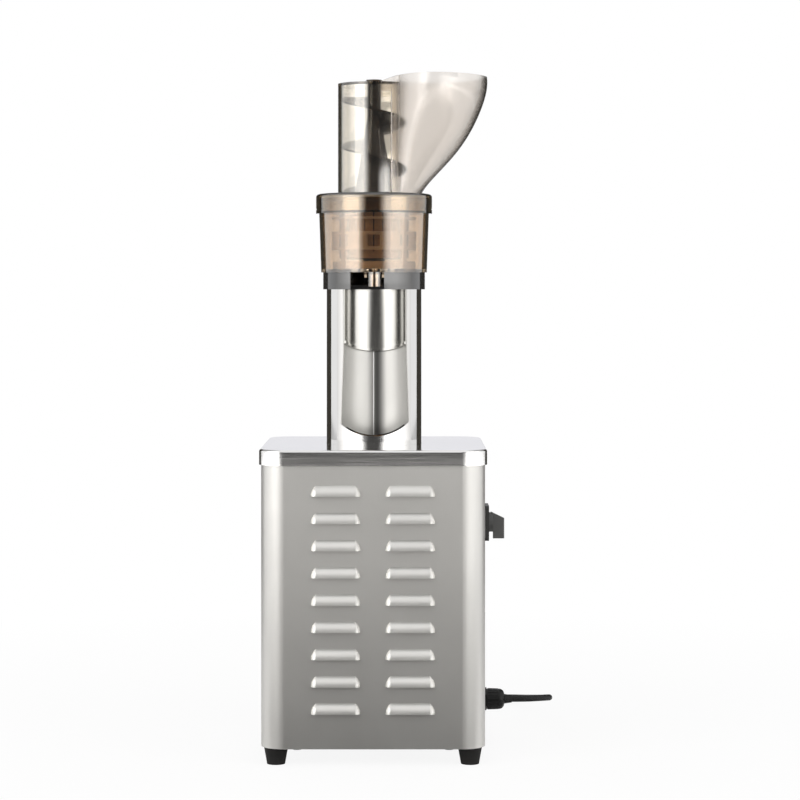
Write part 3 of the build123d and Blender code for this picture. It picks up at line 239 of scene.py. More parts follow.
class StudioSettings(PropertyGroup):
    """Camera and light."""

    eye: FloatVectorProperty(
        name="Camera place", description="Where the camera stands, from the column's axis on the floor",
        subtype="XYZ", unit="LENGTH", size=3, default=(0.0312, -2.89, 0.5501))
    lens: FloatProperty(
        name="Lens", description="Focal length on a 36 mm frame, in millimetres",
        subtype="DISTANCE_CAMERA", unit="CAMERA", min=1, default=108.0)
    rise: FloatProperty(
        name="Vertical shift", description="Shift of the frame as a share of its width, down if negative",
        default=-0.14)
    left_power: FloatProperty(
        name="Left softbox", description="Power of the left softbox in watts",
        subtype="POWER", unit="POWER", min=0, default=30.0)
    right_power: FloatProperty(
        name="Right softbox", description="Power of the right softbox in watts",
        subtype="POWER", unit="POWER", min=0, default=24.0)
    room_light: FloatProperty(
        name="Room light", description="Strength of the even light all round", min=0, default=0.6)
    box_light: FloatProperty(
        name="Box light", description="Strength of the light arcs at the box's height",
        min=0, default=4.0)
    column_light: FloatProperty(
        name="Column light", description="Strength of the light arcs at the column's height",
        min=0, default=2.0)
    clear_light: FloatProperty(
        name="Clear parts' light", description="Strength of the light arcs at the clear parts' height",
        min=0, default=2.8)
    arc_end: FloatProperty(
        name="Arc end light", description="Strength that the two upper arcs fade to at the sides",
        min=0, default=0.9)
    left_start: FloatProperty(
        name="Left arc start", description="Angle from the camera to the left arc",
        subtype="ANGLE", unit="ROTATION", min=0, max=math.pi / 2, default=math.radians(20))
    right_start: FloatProperty(
        name="Right arc start", description="Angle from the camera to the right arc",
        subtype="ANGLE", unit="ROTATION", min=0, max=math.pi / 2, default=math.radians(16))
    card_shade: FloatProperty(
        name="Dark cards", description="Shade of the dark cards that the column and the tube mirror",
        subtype="FACTOR", min=0, max=1, default=0.07)
    back_shade: FloatProperty(
        name="Back card", description="Shade of the card behind that the cover mirrors",
        subtype="FACTOR", min=0, max=1, default=0.88)
    floor_shade: FloatProperty(
        name="Floor card", description="Shade of the floor in front that the box mirrors",
        subtype="FACTOR", min=0, max=1, default=0.05)
    far_shade: FloatProperty(
        name="Far floor card", description="Shade of the floor further off that the box mirrors",
        min=0, default=1.3)
    flag_shade: FloatProperty(
        name="Edge cards", description="Shade of the cards that darken the metal's edges",
        subtype="FACTOR", min=0, max=1, default=0.05)


# Node helpers


def new_material(name):
    """Material with a principled shader, its node tree and the shader."""
    material = bpy.data.materials.new(name)
    material.use_nodes = True
    return material, material.node_tree, material.node_tree.nodes["Principled BSDF"]


def maths(tree, operation, first, second=None):
    """Result of a sum on sockets or plain numbers."""
    node = tree.nodes.new("ShaderNodeMath")
    node.operation = operation
    for socket, value in zip(node.inputs, (first, second)):
        if value is None:
            continue
        if isinstance(value, (int, float)):
            socket.default_value = value
        else:
            tree.links.new(value, socket)
    return node.outputs["Value"]


def object_place(tree):
    """The object's coordinates in metres, as three sockets."""
    place = tree.nodes.new("ShaderNodeTexCoord")
    split = tree.nodes.new("ShaderNodeSeparateXYZ")
    tree.links.new(place.outputs["Object"], split.inputs["Vector"])
    return split.outputs


def object_grain(tree, scale, detail):
    """Noise over the object's coordinates in metres, with a scale for each axis."""
    place = tree.nodes.new("ShaderNodeTexCoord")
    stretch = tree.nodes.new("ShaderNodeMapping")
    stretch.inputs["Scale"].default_value = scale
    noise = tree.nodes.new("ShaderNodeTexNoise")
    noise.inputs["Scale"].default_value = 1.0
    noise.inputs["Detail"].default_value = detail
    tree.links.new(place.outputs["Object"], stretch.inputs["Vector"])
    tree.links.new(stretch.outputs["Vector"], noise.inputs["Vector"])
    return noise.outputs["Fac"]


def spread(tree, source, low, high, from_low=0.3, from_high=0.7):
    """Values mapped to a range, by default from the middle of a grain's."""
    node = tree.nodes.new("ShaderNodeMapRange")
    node.inputs["From Min"].default_value = from_low
    node.inputs["From Max"].default_value = from_high
    node.inputs["To Min"].default_value = low
    node.inputs["To Max"].default_value = high
    tree.links.new(source, node.inputs["Value"])
    return node.outputs["Result"]


def shaded(colour, share):
    """A colour with a share of its light."""
    return tuple(part * share for part in colour)


# Where a mottled colour's dark and full tones lie on its grain
DARK_TONE_PLACE = 0.35
FULL_TONE_PLACE = 0.65


def two_tone(tree, source, colour, darker):
    """A colour that a grain shifts towards a darker one."""
    ramp = tree.nodes.new("ShaderNodeValToRGB")
    dark, full = ramp.color_ramp.elements
    dark.position = DARK_TONE_PLACE
    full.position = FULL_TONE_PLACE
    dark.color = (*shaded(colour, darker), 1)
    full.color = (*colour, 1)
    tree.links.new(source, ramp.inputs["Fac"])
    return ramp.outputs["Color"]


def blended(tree, share, first, second):
    """Colour between two, by a share from 0 to 1."""
    node = tree.nodes.new("ShaderNodeMix")
    node.data_type = "RGBA"
    tree.links.new(share, node.inputs["Factor"])
    for socket, value in ((node.inputs["A"], first), (node.inputs["B"], second)):
        if isinstance(value, tuple):
            socket.default_value = (*value, 1)
        else:
            tree.links.new(value, socket)
    return node.outputs["Result"]


def blurred(tree, shader, source, roughness, reach):
    """Roughness that a grain shifts to both sides of its middle."""
    tree.links.new(spread(tree, source, roughness - reach, roughness + reach), shader.inputs["Roughness"])


def bumped(tree, shader, source, strength, distance):
    """Small relief from a grain."""
    bump = tree.nodes.new("ShaderNodeBump")
    bump.inputs["Strength"].default_value = strength
    bump.inputs["Distance"].default_value = distance
    tree.links.new(source, bump.inputs["Height"])
    tree.links.new(bump.outputs["Normal"], shader.inputs["Normal"])


# Grains of the finishes along each axis, in waves per metre
STEEL_CLOUDS = (9.0, 9.0, 9.0)
MOULDED_CLOUDS = (24.0, 24.0, 24.0)
FLOW_LINES = (30.0, 30.0, 6.0)

# How far a grain shifts the roughness of metal and of mouldings
METAL_BLUR = 0.08
MOULDED_BLUR = 0.06

# Over how much of its turn a clear wall darkens with painted shade
EDGE_SPAN = 0.25


def steel(name, colour, roughness, brush, relief, blur):
    """Stainless steel with a brushed grain along the axis that has the small scale."""
    material, tree, shader = new_material(name)
    fine = object_grain(tree, brush, detail=3.0)
    clouds = object_grain(tree, STEEL_CLOUDS, detail=4.0)
    shader.inputs["Metallic"].default_value = 1.0
    tree.links.new(two_tone(tree, clouds, colour, darker=0.95), shader.inputs["Base Color"])
    blurred(tree, shader, fine, roughness, blur)
    bumped(tree, shader, fine, strength=relief, distance=0.0002)
    return material


def soften_edges(material, low, high, width, fall):
    """Lets a sheet's faces roll off towards its upright edges."""
    tree = material.node_tree
    centre = (low.x + high.x) / 2
    half = (high.x - low.x) / 2
    away = maths(tree, "ABSOLUTE", maths(tree, "SUBTRACT", object_place(tree)["X"], centre))
    share = spread(tree, away, 0.0, 1.0, half - width, half)
    depth = maths(tree, "MULTIPLY", maths(tree, "MULTIPLY", share, share), -1)
    roll = tree.nodes.new("ShaderNodeBump")
    roll.inputs["Distance"].default_value = fall
    tree.links.new(depth, roll.inputs["Height"])
    tree.links.new(roll.outputs["Normal"], tree.nodes["Bump"].inputs["Normal"])


def painted_light_band(material, place_x, reach, tint):
    """Soft upright band of painted light: a painted dark reflection or a painted highlight."""
    tree = material.node_tree
    socket = tree.nodes["Principled BSDF"].inputs["Base Color"]
    away = maths(tree, "ABSOLUTE", maths(tree, "SUBTRACT", object_place(tree)["X"], place_x))
    share = spread(tree, away, 1.0, 0.0, 0.0, reach)
    share.node.interpolation_type = "SMOOTHSTEP"
    tree.links.new(blended(tree, share, socket.links[0].from_socket, tint), socket)


def metal(name, colour, roughness, scale, relief):
    """Cast, plated or ground metal with an even grain."""
    material, tree, shader = new_material(name)
    grain = object_grain(tree, (scale, scale, scale), detail=5.0)
    shader.inputs["Metallic"].default_value = 1.0
    tree.links.new(two_tone(tree, grain, colour, darker=0.86), shader.inputs["Base Color"])
    blurred(tree, shader, grain, roughness, METAL_BLUR)
    bumped(tree, shader, grain, strength=relief, distance=0.0003)
    return material


def moulded(name, colour, roughness, scale=900.0, relief=0.12, coat=0.0, gloss=0.5):
    """Moulded plastic, rubber or enamel with a fine skin and faint mottling."""
    material, tree, shader = new_material(name)
    skin = object_grain(tree, (scale, scale, scale), detail=2.0)
    clouds = object_grain(tree, MOULDED_CLOUDS, detail=4.0)
    tree.links.new(two_tone(tree, clouds, colour, darker=0.82), shader.inputs["Base Color"])
    blurred(tree, shader, clouds, roughness, MOULDED_BLUR)
    shader.inputs["Coat Weight"].default_value = coat
    shader.inputs["Specular IOR Level"].default_value = gloss
    bumped(tree, shader, skin, strength=relief, distance=0.0002)
    return material


def painted_edge_shade(tree, start):
    """Share of painted shade, growing from 0 to 1 where a wall is seen along its face."""
    facing = tree.nodes.new("ShaderNodeLayerWeight")
    facing.inputs["Blend"].default_value = 0.5
    return spread(tree, facing.outputs["Facing"], 0.0, 1.0, start, start + EDGE_SPAN)


def clear(name, tint, looks, roughness, coat, edge_shade):
    """Tinted clear moulding with faint flow lines, and painted shade that darkens its wall edge-on."""
    material, tree, shader = new_material(name)
    lines = object_grain(tree, FLOW_LINES, detail=3.0)
    face = two_tone(tree, lines, tint, darker=0.97)
    # Painted shade on the wall where it is seen edge-on.
    colour = blended(tree, painted_edge_shade(tree, looks.edge_start), face, shaded(tint, edge_shade))
    tree.links.new(colour, shader.inputs["Base Color"])
    blurred(tree, shader, lines, roughness, roughness / 2)
    shader.inputs["Transmission Weight"].default_value = 1.0
    shader.inputs["IOR"].default_value = looks.light_bending
    shader.inputs["Coat Weight"].default_value = coat
    shader.inputs["Coat Roughness"].default_value = roughness
    shader.inputs["Coat IOR"].default_value = looks.coat_bending
    bumped(tree, shader, lines, strength=0.02, distance=0.0004)
    return material


def tint_between(material, low_z, high_z, tint):
    """Gives a clear moulding another tint between two heights."""
    tree = material.node_tree
    socket = tree.nodes["Principled BSDF"].inputs["Base Color"]
    height = object_place(tree)["Z"]
    above = maths(tree, "GREATER_THAN", height, low_z)
    below = maths(tree, "LESS_THAN", height, high_z)
    inside = maths(tree, "MULTIPLY", above, below)
    tree.links.new(blended(tree, inside, socket.links[0].from_socket, tint), socket)


# Object helpers


def dress(material, *names):
    """Gives CAD nodes a finish."""
    for name in names:
        mesh = NODES[name].data
        mesh.materials.clear()
        mesh.materials.append(material)


def placed(name, data):
    """New object in the scene."""
    thing = bpy.data.objects.new(name, data)
    bpy.context.scene.collection.objects.link(thing)
    return thing


def add_mesh(name, shape, material, body):
    """Object from a bmesh, riding on a body."""
    mesh = bpy.data.meshes.new(name)
    shape.to_mesh(mesh)
    shape.free()
    piece = placed(name, mesh)
    mesh.materials.append(material)
    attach(piece, body)
    return piece


class JUICER_OT_box_steel(Operator):
    """Finish the louvred box, its cover and the plated pieces in it"""

    bl_idname = "juicer.box_steel"
    bl_label = "Box steel"

    def execute(self, context):
        looks = context.scene.juicer_steel
        body = steel(
            "body_satin", looks.satin_colour, looks.satin_roughness,
            brush=(900.0, 900.0, 14.0), relief=0.05, blur=0.03)
        soften_edges(body, *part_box("body_shell"), looks.edge_width, looks.edge_fall)
        cover = steel(
            "cover_polish", looks.polished_colour, looks.cover_roughness,
            brush=(14.0, 700.0, 700.0), relief=0.05, blur=0.03)
        plated = metal("zinc_plate", (0.60, 0.61, 0.62), roughness=0.38, scale=260.0, relief=0.1)
        dress(body, "body_shell")
        dress(cover, "top_cover")
        dress(plated, "base_plate", "foot_screws", "post_screws", "support_plate", "frame_posts",
              "column_flange", "column_bolts", "gearbox_bolts", "motor_screws", "capacitor_clamp")
        return {"FINISHED"}


class JUICER_OT_column_steel(Operator):
    """Finish the column, the cup recess and the splash guard"""

    bl_idname = "juicer.column_steel"
    bl_label = "Column steel"

    def execute(self, context):
        looks = context.scene.juicer_steel
        polish = steel(
            "column_polish", looks.column_colour, looks.column_roughness,
            brush=(700.0, 700.0, 30.0), relief=0.03, blur=0.02)
        satin = steel(
            "recess_satin", looks.recess_colour, looks.recess_roughness,
            brush=(800.0, 800.0, 20.0), relief=0.006, blur=0.02)
        satin.node_tree.nodes["Principled BSDF"].inputs["Metallic"].default_value = looks.recess_metal
        # Painted dark reflection: a dark band down the recess liner beside the weld.
        dark_reflection_tint = shaded(looks.recess_colour, looks.reflection_band_shade)
        painted_light_band(satin, AXIS_X + looks.reflection_band_place, looks.reflection_band_reach, dark_reflection_tint)
        # Painted highlight: a bright line along the weld bead.
        painted_light_band(satin, AXIS_X + looks.bead_highlight_place, looks.bead_highlight_reach, tuple(looks.polished_colour))
        guard = steel(
            "guard_polish", looks.guard_colour, looks.guard_roughness,
            brush=(700.0, 700.0, 30.0), relief=0.04, blur=0.03)
        dress(polish, "column_tube")
        dress(satin, "niche_liner")
        dress(guard, "splash_guard")
        return {"FINISHED"}


class JUICER_OT_feet(Operator):
    """Finish the rubber feet"""

    bl_idname = "juicer.feet"
    bl_label = "Feet"

    def execute(self, context):
        looks = context.scene.juicer_moulding
        rubber = moulded(
            "foot_rubber_skin", looks.feet_colour, roughness=0.62, scale=500.0, relief=0.25, gloss=0.2)
        dress(rubber, "rubber_feet")
        return {"FINISHED"}


class JUICER_OT_drive(Operator):
    """Finish the motor, the gearbox and what is inside the box"""

    bl_idname = "juicer.drive"
    bl_label = "Drive"

    def execute(self, context):
        ground = metal("ground_steel", (0.62, 0.62, 0.62), roughness=0.25, scale=400.0, relief=0.04)
        alloy = metal("cast_alloy_skin", (0.62, 0.62, 0.61), roughness=0.52, scale=320.0, relief=0.35)
        stack = metal("lamination_stack", (0.30, 0.30, 0.31), roughness=0.45, scale=500.0, relief=0.2)
        copper = metal("winding_copper", (0.72, 0.36, 0.18), roughness=0.35, scale=600.0, relief=0.5)
        can = metal("capacitor_can", (0.66, 0.66, 0.66), roughness=0.30, scale=300.0, relief=0.05)
        enamel = moulded("motor_enamel", (0.030, 0.032, 0.035), roughness=0.40, scale=400.0, relief=0.2)
        black = moulded("drive_black_plastic", (0.03, 0.03, 0.032), roughness=0.5)
        pale = moulded("terminal_plastic", (0.72, 0.70, 0.64), roughness=0.45)
        dress(ground, "ball_bearings", "rotor_shaft", "counter_gear", "counter_shaft", "output_gear",
              "output_shaft", "shaft_coupling", "drive_shaft", "selector_spindle")
        dress(alloy, "gearbox_case", "gearbox_cover", "motor_bell")
        dress(stack, "stator_core", "rotor_core")
        dress(copper, "stator_windings")
        dress(can, "run_capacitor")
        dress(enamel, "motor_can")
        dress(black, "cooling_fan", "selector_body")
        dress(pale, "terminal_block")
        return {"FINISHED"}


class JUICER_OT_clear_parts(Operator):
    """Finish the bowl, the lid with its tube and the hopper"""

    bl_idname = "juicer.clear_parts"
    bl_label = "Clear parts"

    def execute(self, context):
        looks = context.scene.juicer_clear
        rough = looks.clear_roughness
        rim = looks.rim_depth
        lid_low, lid_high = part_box("feed_lid")
        lid_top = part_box("hopper")[0].z
        bowl_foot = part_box("bowl_seat")[1].z
        bowl = clear("bowl_amber_clear", looks.bowl_tint, looks, rough, coat=1.0, edge_shade=0.3)
        # Painted shade: a dark band round the bowl's foot, on its seat.
        tint_between(bowl, bowl_foot - rim, bowl_foot + rim, tuple(looks.painted_foot_shade))
        lid = clear("lid_amber_clear", looks.tube_tint, looks, rough, coat=0.6, edge_shade=0.3)
        tint_between(lid, lid_low.z, lid_top, tuple(looks.lid_tint))
        # Painted shade: dark bands along the lid's rims and the tube's top, seen edge-on.
        painted_rim_shade = shaded(looks.lid_tint, looks.rim_shade)
        for low_z in (lid_low.z, lid_top - rim, lid_high.z - rim):
            tint_between(lid, low_z - rim / 4, low_z + rim, painted_rim_shade)
        hopper = clear(
            "hopper_clear_skin", looks.hopper_tint, looks, looks.hopper_roughness,
            coat=0.05, edge_shade=0.6)
        dress(bowl, "bowl")
        dress(lid, "feed_lid")
        dress(hopper, "hopper")
        return {"FINISHED"}


class JUICER_OT_pressing(Operator):
    """Finish the seat, the auger and the pieces round it"""

    bl_idname = "juicer.pressing"
    bl_label = "Pressing parts"

    def execute(self, context):
        looks = context.scene.juicer_moulding
        seat = moulded(
            "seat_dark_grey", looks.seat_colour, roughness=0.18, relief=0.02, coat=0.7, gloss=0.4)
        skin_index = context.scene.juicer_clear.coat_bending
        seat.node_tree.nodes["Principled BSDF"].inputs["Coat IOR"].default_value = skin_index
        auger = moulded(
            "auger_dark_resin", looks.auger_colour, roughness=0.18, scale=500.0, relief=0.03)
        amber = moulded(
            "strainer_amber_resin", looks.strainer_colour, roughness=0.30, scale=500.0, relief=0.05,
            coat=0.3)
        wiper = moulded(
            "wiper_amber_resin", looks.wiper_colour, roughness=0.32, scale=500.0, relief=0.05, coat=0.3)
        silicone = moulded(
            "silicone_skin", looks.silicone_colour, roughness=0.55, scale=500.0, relief=0.1)
        bush = moulded(
            "bush_brown", looks.bush_colour, roughness=0.25, scale=500.0, relief=0.05, gloss=0.4)
        gear = metal("idler_steel", (0.64, 0.64, 0.64), roughness=0.28, scale=400.0, relief=0.04)
        dress(seat, "bowl_seat")
        dress(auger, "auger")
        dress(amber, "strainer")
        dress(wiper, "wiper_frame")
        dress(silicone, "shaft_seal", "wiper_blades", "lid_gasket")
        dress(bush, "top_bush")
        dress(gear, "idler_gear")
        return {"FINISHED"}


# Sides of each grip rib
RIB_SIDES = 12


def grip_ribs(looks):
    """Ribs along the gland's nut, tapering out where its end rounds off."""
    low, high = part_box("gland_nut")
    radius = (high.z - low.z) / 2
    centre = (low + high) / 2 - Vector((looks.rib_setback, 0, 0))
    lie = Matrix.Translation((0, 0, radius)) @ Matrix.Rotation(math.pi / 2, 4, "Y")
    shape = bmesh.new()
    for rib in range(looks.rib_count):
        turn = Matrix.Rotation(2 * math.pi * rib / looks.rib_count, 4, "X")
        bmesh.ops.create_cone(
            shape, cap_ends=True, segments=RIB_SIDES, radius1=looks.rib_height,
            radius2=looks.rib_height / 2, depth=looks.rib_length,
            matrix=Matrix.Translation(centre) @ turn @ lie)
    return shape


class JUICER_OT_controls(Operator):
    """Finish the selector and the cable gland, and add the gland's grip ribs"""

    bl_idname = "juicer.controls"
    bl_label = "Controls"

    def execute(self, context):
        looks = context.scene.juicer_moulding
        knob = moulded("knob_dark_grey", looks.knob_colour, roughness=0.45, scale=700.0, relief=0.15)
        black = moulded(
            "gland_black", looks.gland_colour, roughness=0.32, scale=700.0, relief=0.05, gloss=0.25)
        grey = moulded(
            "control_plate_grey", looks.plate_colour, roughness=0.45, scale=700.0, relief=0.15, gloss=0.3)
        dress(knob, "selector_knob")
        dress(black, "gland_body", "gland_nut", "gland_locknut", "cord_tie")
        dress(grey, "selector_plate")
        ribs = grip_ribs(context.scene.juicer_lead)
        add_mesh("gland_grip_ribs", ribs, black, "machine")
        return {"FINISHED"}


# Route of the lead from the sleeve to the coil, in metres from the column's axis on the floor
LEAD_ROUTE = (
    (0.1665, 0.0200, 0.0521),
    (0.1825, 0.0200, 0.0521),
    (0.1973, 0.0261, 0.0518),
    (0.2086, 0.0374, 0.0505),
    (0.2147, 0.0522, 0.0483),
    (0.2152, 0.0800, 0.0435),
    (0.2152, 0.1300, 0.0350),
    (0.2145, 0.1850, 0.0254),
    (0.2105, 0.2330, 0.0172),
    (0.1975, 0.2700, 0.0109),
    (0.1745, 0.2900, 0.0080),
    (0.1455, 0.2985, 0.0063),
    (0.1145, 0.3014, 0.0055),
    (0.0835, 0.3020, 0.00535),
    (0.0575, 0.3020, 0.00535),
)

# The coil's start on the floor plan, the height of its lower layer and its points for each half turn
COIL_START = (0.050, 0.302)
COIL_LOW_Z = 0.00535
COIL_STEPS = 12


def coil_points(looks):
    """Points of the coil: half turns inwards on the floor, one that climbs, then outwards on top."""
    x, y = COIL_START
    high_z = COIL_LOW_Z + looks.pitch
    total = looks.half_turns_in + 1 + looks.half_turns_out
    side = -1
    points = []
    for turn in range(total):
        steps = min(turn, 2 * looks.half_turns_in - turn)
        radius = looks.first_radius - steps * looks.pitch / 2
        start_z = COIL_LOW_Z if turn <= looks.half_turns_in else high_z
        end_z = COIL_LOW_Z if turn < looks.half_turns_in else high_z
        centre_y = y + side * radius
        for step in range(COIL_STEPS):
            angle = math.pi * step / COIL_STEPS
            climbed = (1 - math.cos(angle)) / 2
            points.append((
                x + side * radius * math.sin(angle),
                centre_y - side * radius * math.cos(angle),
                start_z + (end_z - start_z) * climbed,
            ))
        y += 2 * side * radius
        side = -side
    points.append((x, y, high_z))
    points.append((x - looks.tail / 2, y, high_z))
    points.append((x - looks.tail, y, high_z))
    return points


def lead_curve(looks, material):
    """Smooth round curve along the lead's route and coil."""
    route = list(LEAD_ROUTE) + coil_points(looks)
    curve = bpy.data.curves.new("mains_lead", "CURVE")
    curve.dimensions = "3D"
    line = curve.splines.new("NURBS")
    line.points.add(len(route) - 1)
    for point, place in zip(line.points, route):
        point.co = (place[0] + AXIS_X, place[1], place[2], 1.0)
    line.order_u = 3
    line.use_endpoint_u = True
    line.resolution_u = 6
    curve.bevel_depth = looks.diameter / 2
    curve.bevel_resolution = 5
    curve.use_fill_caps = True
    curve.materials.append(material)
    return curve


class JUICER_OT_lead(Operator):
    """Make the mains lead with its coil, and finish its plug"""

    bl_idname = "juicer.lead"
    bl_label = "Mains lead"

    def execute(self, context):
        looks = context.scene.juicer_lead
        rubber = moulded(
            "lead_rubber", context.scene.juicer_moulding.lead_colour, roughness=0.48, scale=1200.0,
            relief=0.2, gloss=0.25)
        brass = metal("pin_brass_bright", (0.80, 0.60, 0.28), roughness=0.28, scale=300.0, relief=0.05)
        dress(rubber, "cord_sleeve", "plug_body", "power_cord", "cord_coil")
        dress(brass, "plug_pins")
        lead = placed("mains_lead", lead_curve(looks, rubber))
        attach(lead, "machine")
        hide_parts("power_cord", "cord_coil")
        return {"FINISHED"}


# The floor is plain white to the camera beyond the second reach, and keeps some shading within the first
FLOOR_HALF = 6.0
FLOOR_PAPER = (0.92, 0.92, 0.92, 1)
NEAR_WHITE = 0.90
SHADOW_REACH = 0.25
WHITE_REACH = 1.2

# Softboxes on both sides of the camera, and the point that they face
SOFTBOX_SIZE = (1.5, 2.2)
SOFTBOX_AIM = (AXIS_X, 0, 0.75)
LEFT_SOFTBOX = (-1.75, -1.55, 1.20)
LEFT_WHITE = (1, 0.99, 0.98)
RIGHT_SOFTBOX = (1.85, -1.45, 1.20)
RIGHT_WHITE = (1, 0.99, 0.97)

# The light arcs that the box, the column and the clear parts mirror: lower and upper edge, and the end as
# an angle from the camera's side. Each brightens over the rise from its start, and dims from the fade on.
ARC_RADIUS = 2.6
ARC_STEPS = 16
ARC_WHITE = (1.0, 0.99, 0.975)
ARC_DIM = 0.05
ARC_RISE = math.radians(18)
ARC_FADE = math.radians(52)
BOX_ARC = (0.02, 0.17, math.radians(124))
COLUMN_ARC = (0.17, 0.56, math.radians(100))
CLEAR_ARC = (0.56, 2.4, math.radians(95))

# Cards that metal and clear parts mirror: both ends on the floor plan, then the lower and upper edge. The
# tube's card joins two places on an arc, and the edge cards stand on both sides.
CARD_WHITE = (1.0, 0.98, 0.95)
DARK_CARD = ((-1.29, -3.2), (0.98, -3.2), 0.0, 1.35)
BACK_CARD = ((-0.8, 1.6), (0.8, 1.6), 0.05, 1.0)
BACK_COOL_WHITE = (0.96, 0.96, 1.0)
EDGE_CARD = ((1.23, 0.86), (0.39, 1.45), 0.0, 2.6)
EDGE_WARM_WHITE = (1.0, 0.91, 0.76)
TUBE_CARD_RADIUS = 2.45
TUBE_CARD_ENDS = (math.radians(10), math.radians(70))
TUBE_CARD_EDGES = (0.80, 1.5)

# Cards just above the floor: half their width, their height, and where the near and the far one end
FLOOR_CARD_HALF = 1.3
FLOOR_CARD_Z = 0.003
NEAR_CARD_END = -1.5
FAR_CARD_END = -3.2


def softbox(name, place, power, tint):
    """Large area lamp that faces the object."""
    lamp = bpy.data.lights.new(name, "AREA")
    lamp.shape = "RECTANGLE"
    lamp.size, lamp.size_y = SOFTBOX_SIZE
    lamp.energy = power
    lamp.color = tint
    holder = placed(name, lamp)
    holder.location = place
    holder.rotation_euler = (Vector(SOFTBOX_AIM) - Vector(place)).to_track_quat("-Z", "Y").to_euler()
    holder.visible_glossy = False


def glowing(name, shade, tint):
    """Material that shines with one shade, its node tree and its shader."""
    material = bpy.data.materials.new(name)
    material.use_nodes = True
    tree = material.node_tree
    tree.nodes.clear()
    glow = tree.nodes.new("ShaderNodeEmission")
    glow.inputs["Color"].default_value = (*tint, 1)
    glow.inputs["Strength"].default_value = shade
    out = tree.nodes.new("ShaderNodeOutputMaterial")
    tree.links.new(glow.outputs["Emission"], out.inputs["Surface"])
    return material, tree, glow


def add_card(name, corners, faces, material):
    """Card that only shows in mirrored or bent light."""
    mesh = bpy.data.meshes.new(name)
    mesh.from_pydata(corners, [], faces)
    mesh.materials.append(material)
    card = placed(name, mesh)
    card.visible_camera = False
    card.visible_diffuse = False
    card.visible_shadow = False
    return card


def mirror_card(name, corners, shade, tint):
    """Flat card with one shade."""
    return add_card(name, corners, [tuple(range(len(corners)))], glowing(name, shade, tint)[0])


def upright_card(name, start, end, low, high, shade, tint=CARD_WHITE):
    """Upright card between two places on the floor plan."""
    return mirror_card(name, [(*start, low), (*end, low), (*end, high), (*start, high)], shade, tint)


def floor_card(name, near_y, far_y, shade):
    """Card that lies just above the floor."""
    plan = (
        (-FLOOR_CARD_HALF, far_y), (FLOOR_CARD_HALF, far_y),
        (FLOOR_CARD_HALF, near_y), (-FLOOR_CARD_HALF, near_y),
    )
    return mirror_card(name, [(*spot, FLOOR_CARD_Z) for spot in plan], shade, CARD_WHITE)


def arc_place(side, angle, radius):
    """Place on the floor plan at an angle from the camera's side of the column."""
    return AXIS_X + side * radius * math.sin(angle), -radius * math.cos(angle)


def light_arc(name, side, start, zone, light, end_light):
    """Curved white card from beside the camera round to one side, fading on its way."""
    low, high, end = zone
    material, tree, glow = glowing(name, light, ARC_WHITE)
    place = object_place(tree)
    sideways = maths(tree, "MULTIPLY", maths(tree, "SUBTRACT", place["X"], AXIS_X), side)
    forwards = maths(tree, "MULTIPLY", place["Y"], -1)
    angle = maths(tree, "ARCTAN2", sideways, forwards)
    fade = spread(tree, angle, light, end_light, ARC_FADE, end)
    rise = spread(tree, angle, ARC_DIM, 1.0, start, start + ARC_RISE)
    rise.node.interpolation_type = "SMOOTHSTEP"
    tree.links.new(maths(tree, "MULTIPLY", fade, rise), glow.inputs["Strength"])
    corners = []
    for step in range(ARC_STEPS + 1):
        spot = arc_place(side, start + (end - start) * step / ARC_STEPS, ARC_RADIUS)
        corners += [(*spot, low), (*spot, high)]
    faces = [(2 * step, 2 * step + 2, 2 * step + 3, 2 * step + 1) for step in range(ARC_STEPS)]
    add_card(name, corners, faces, material)


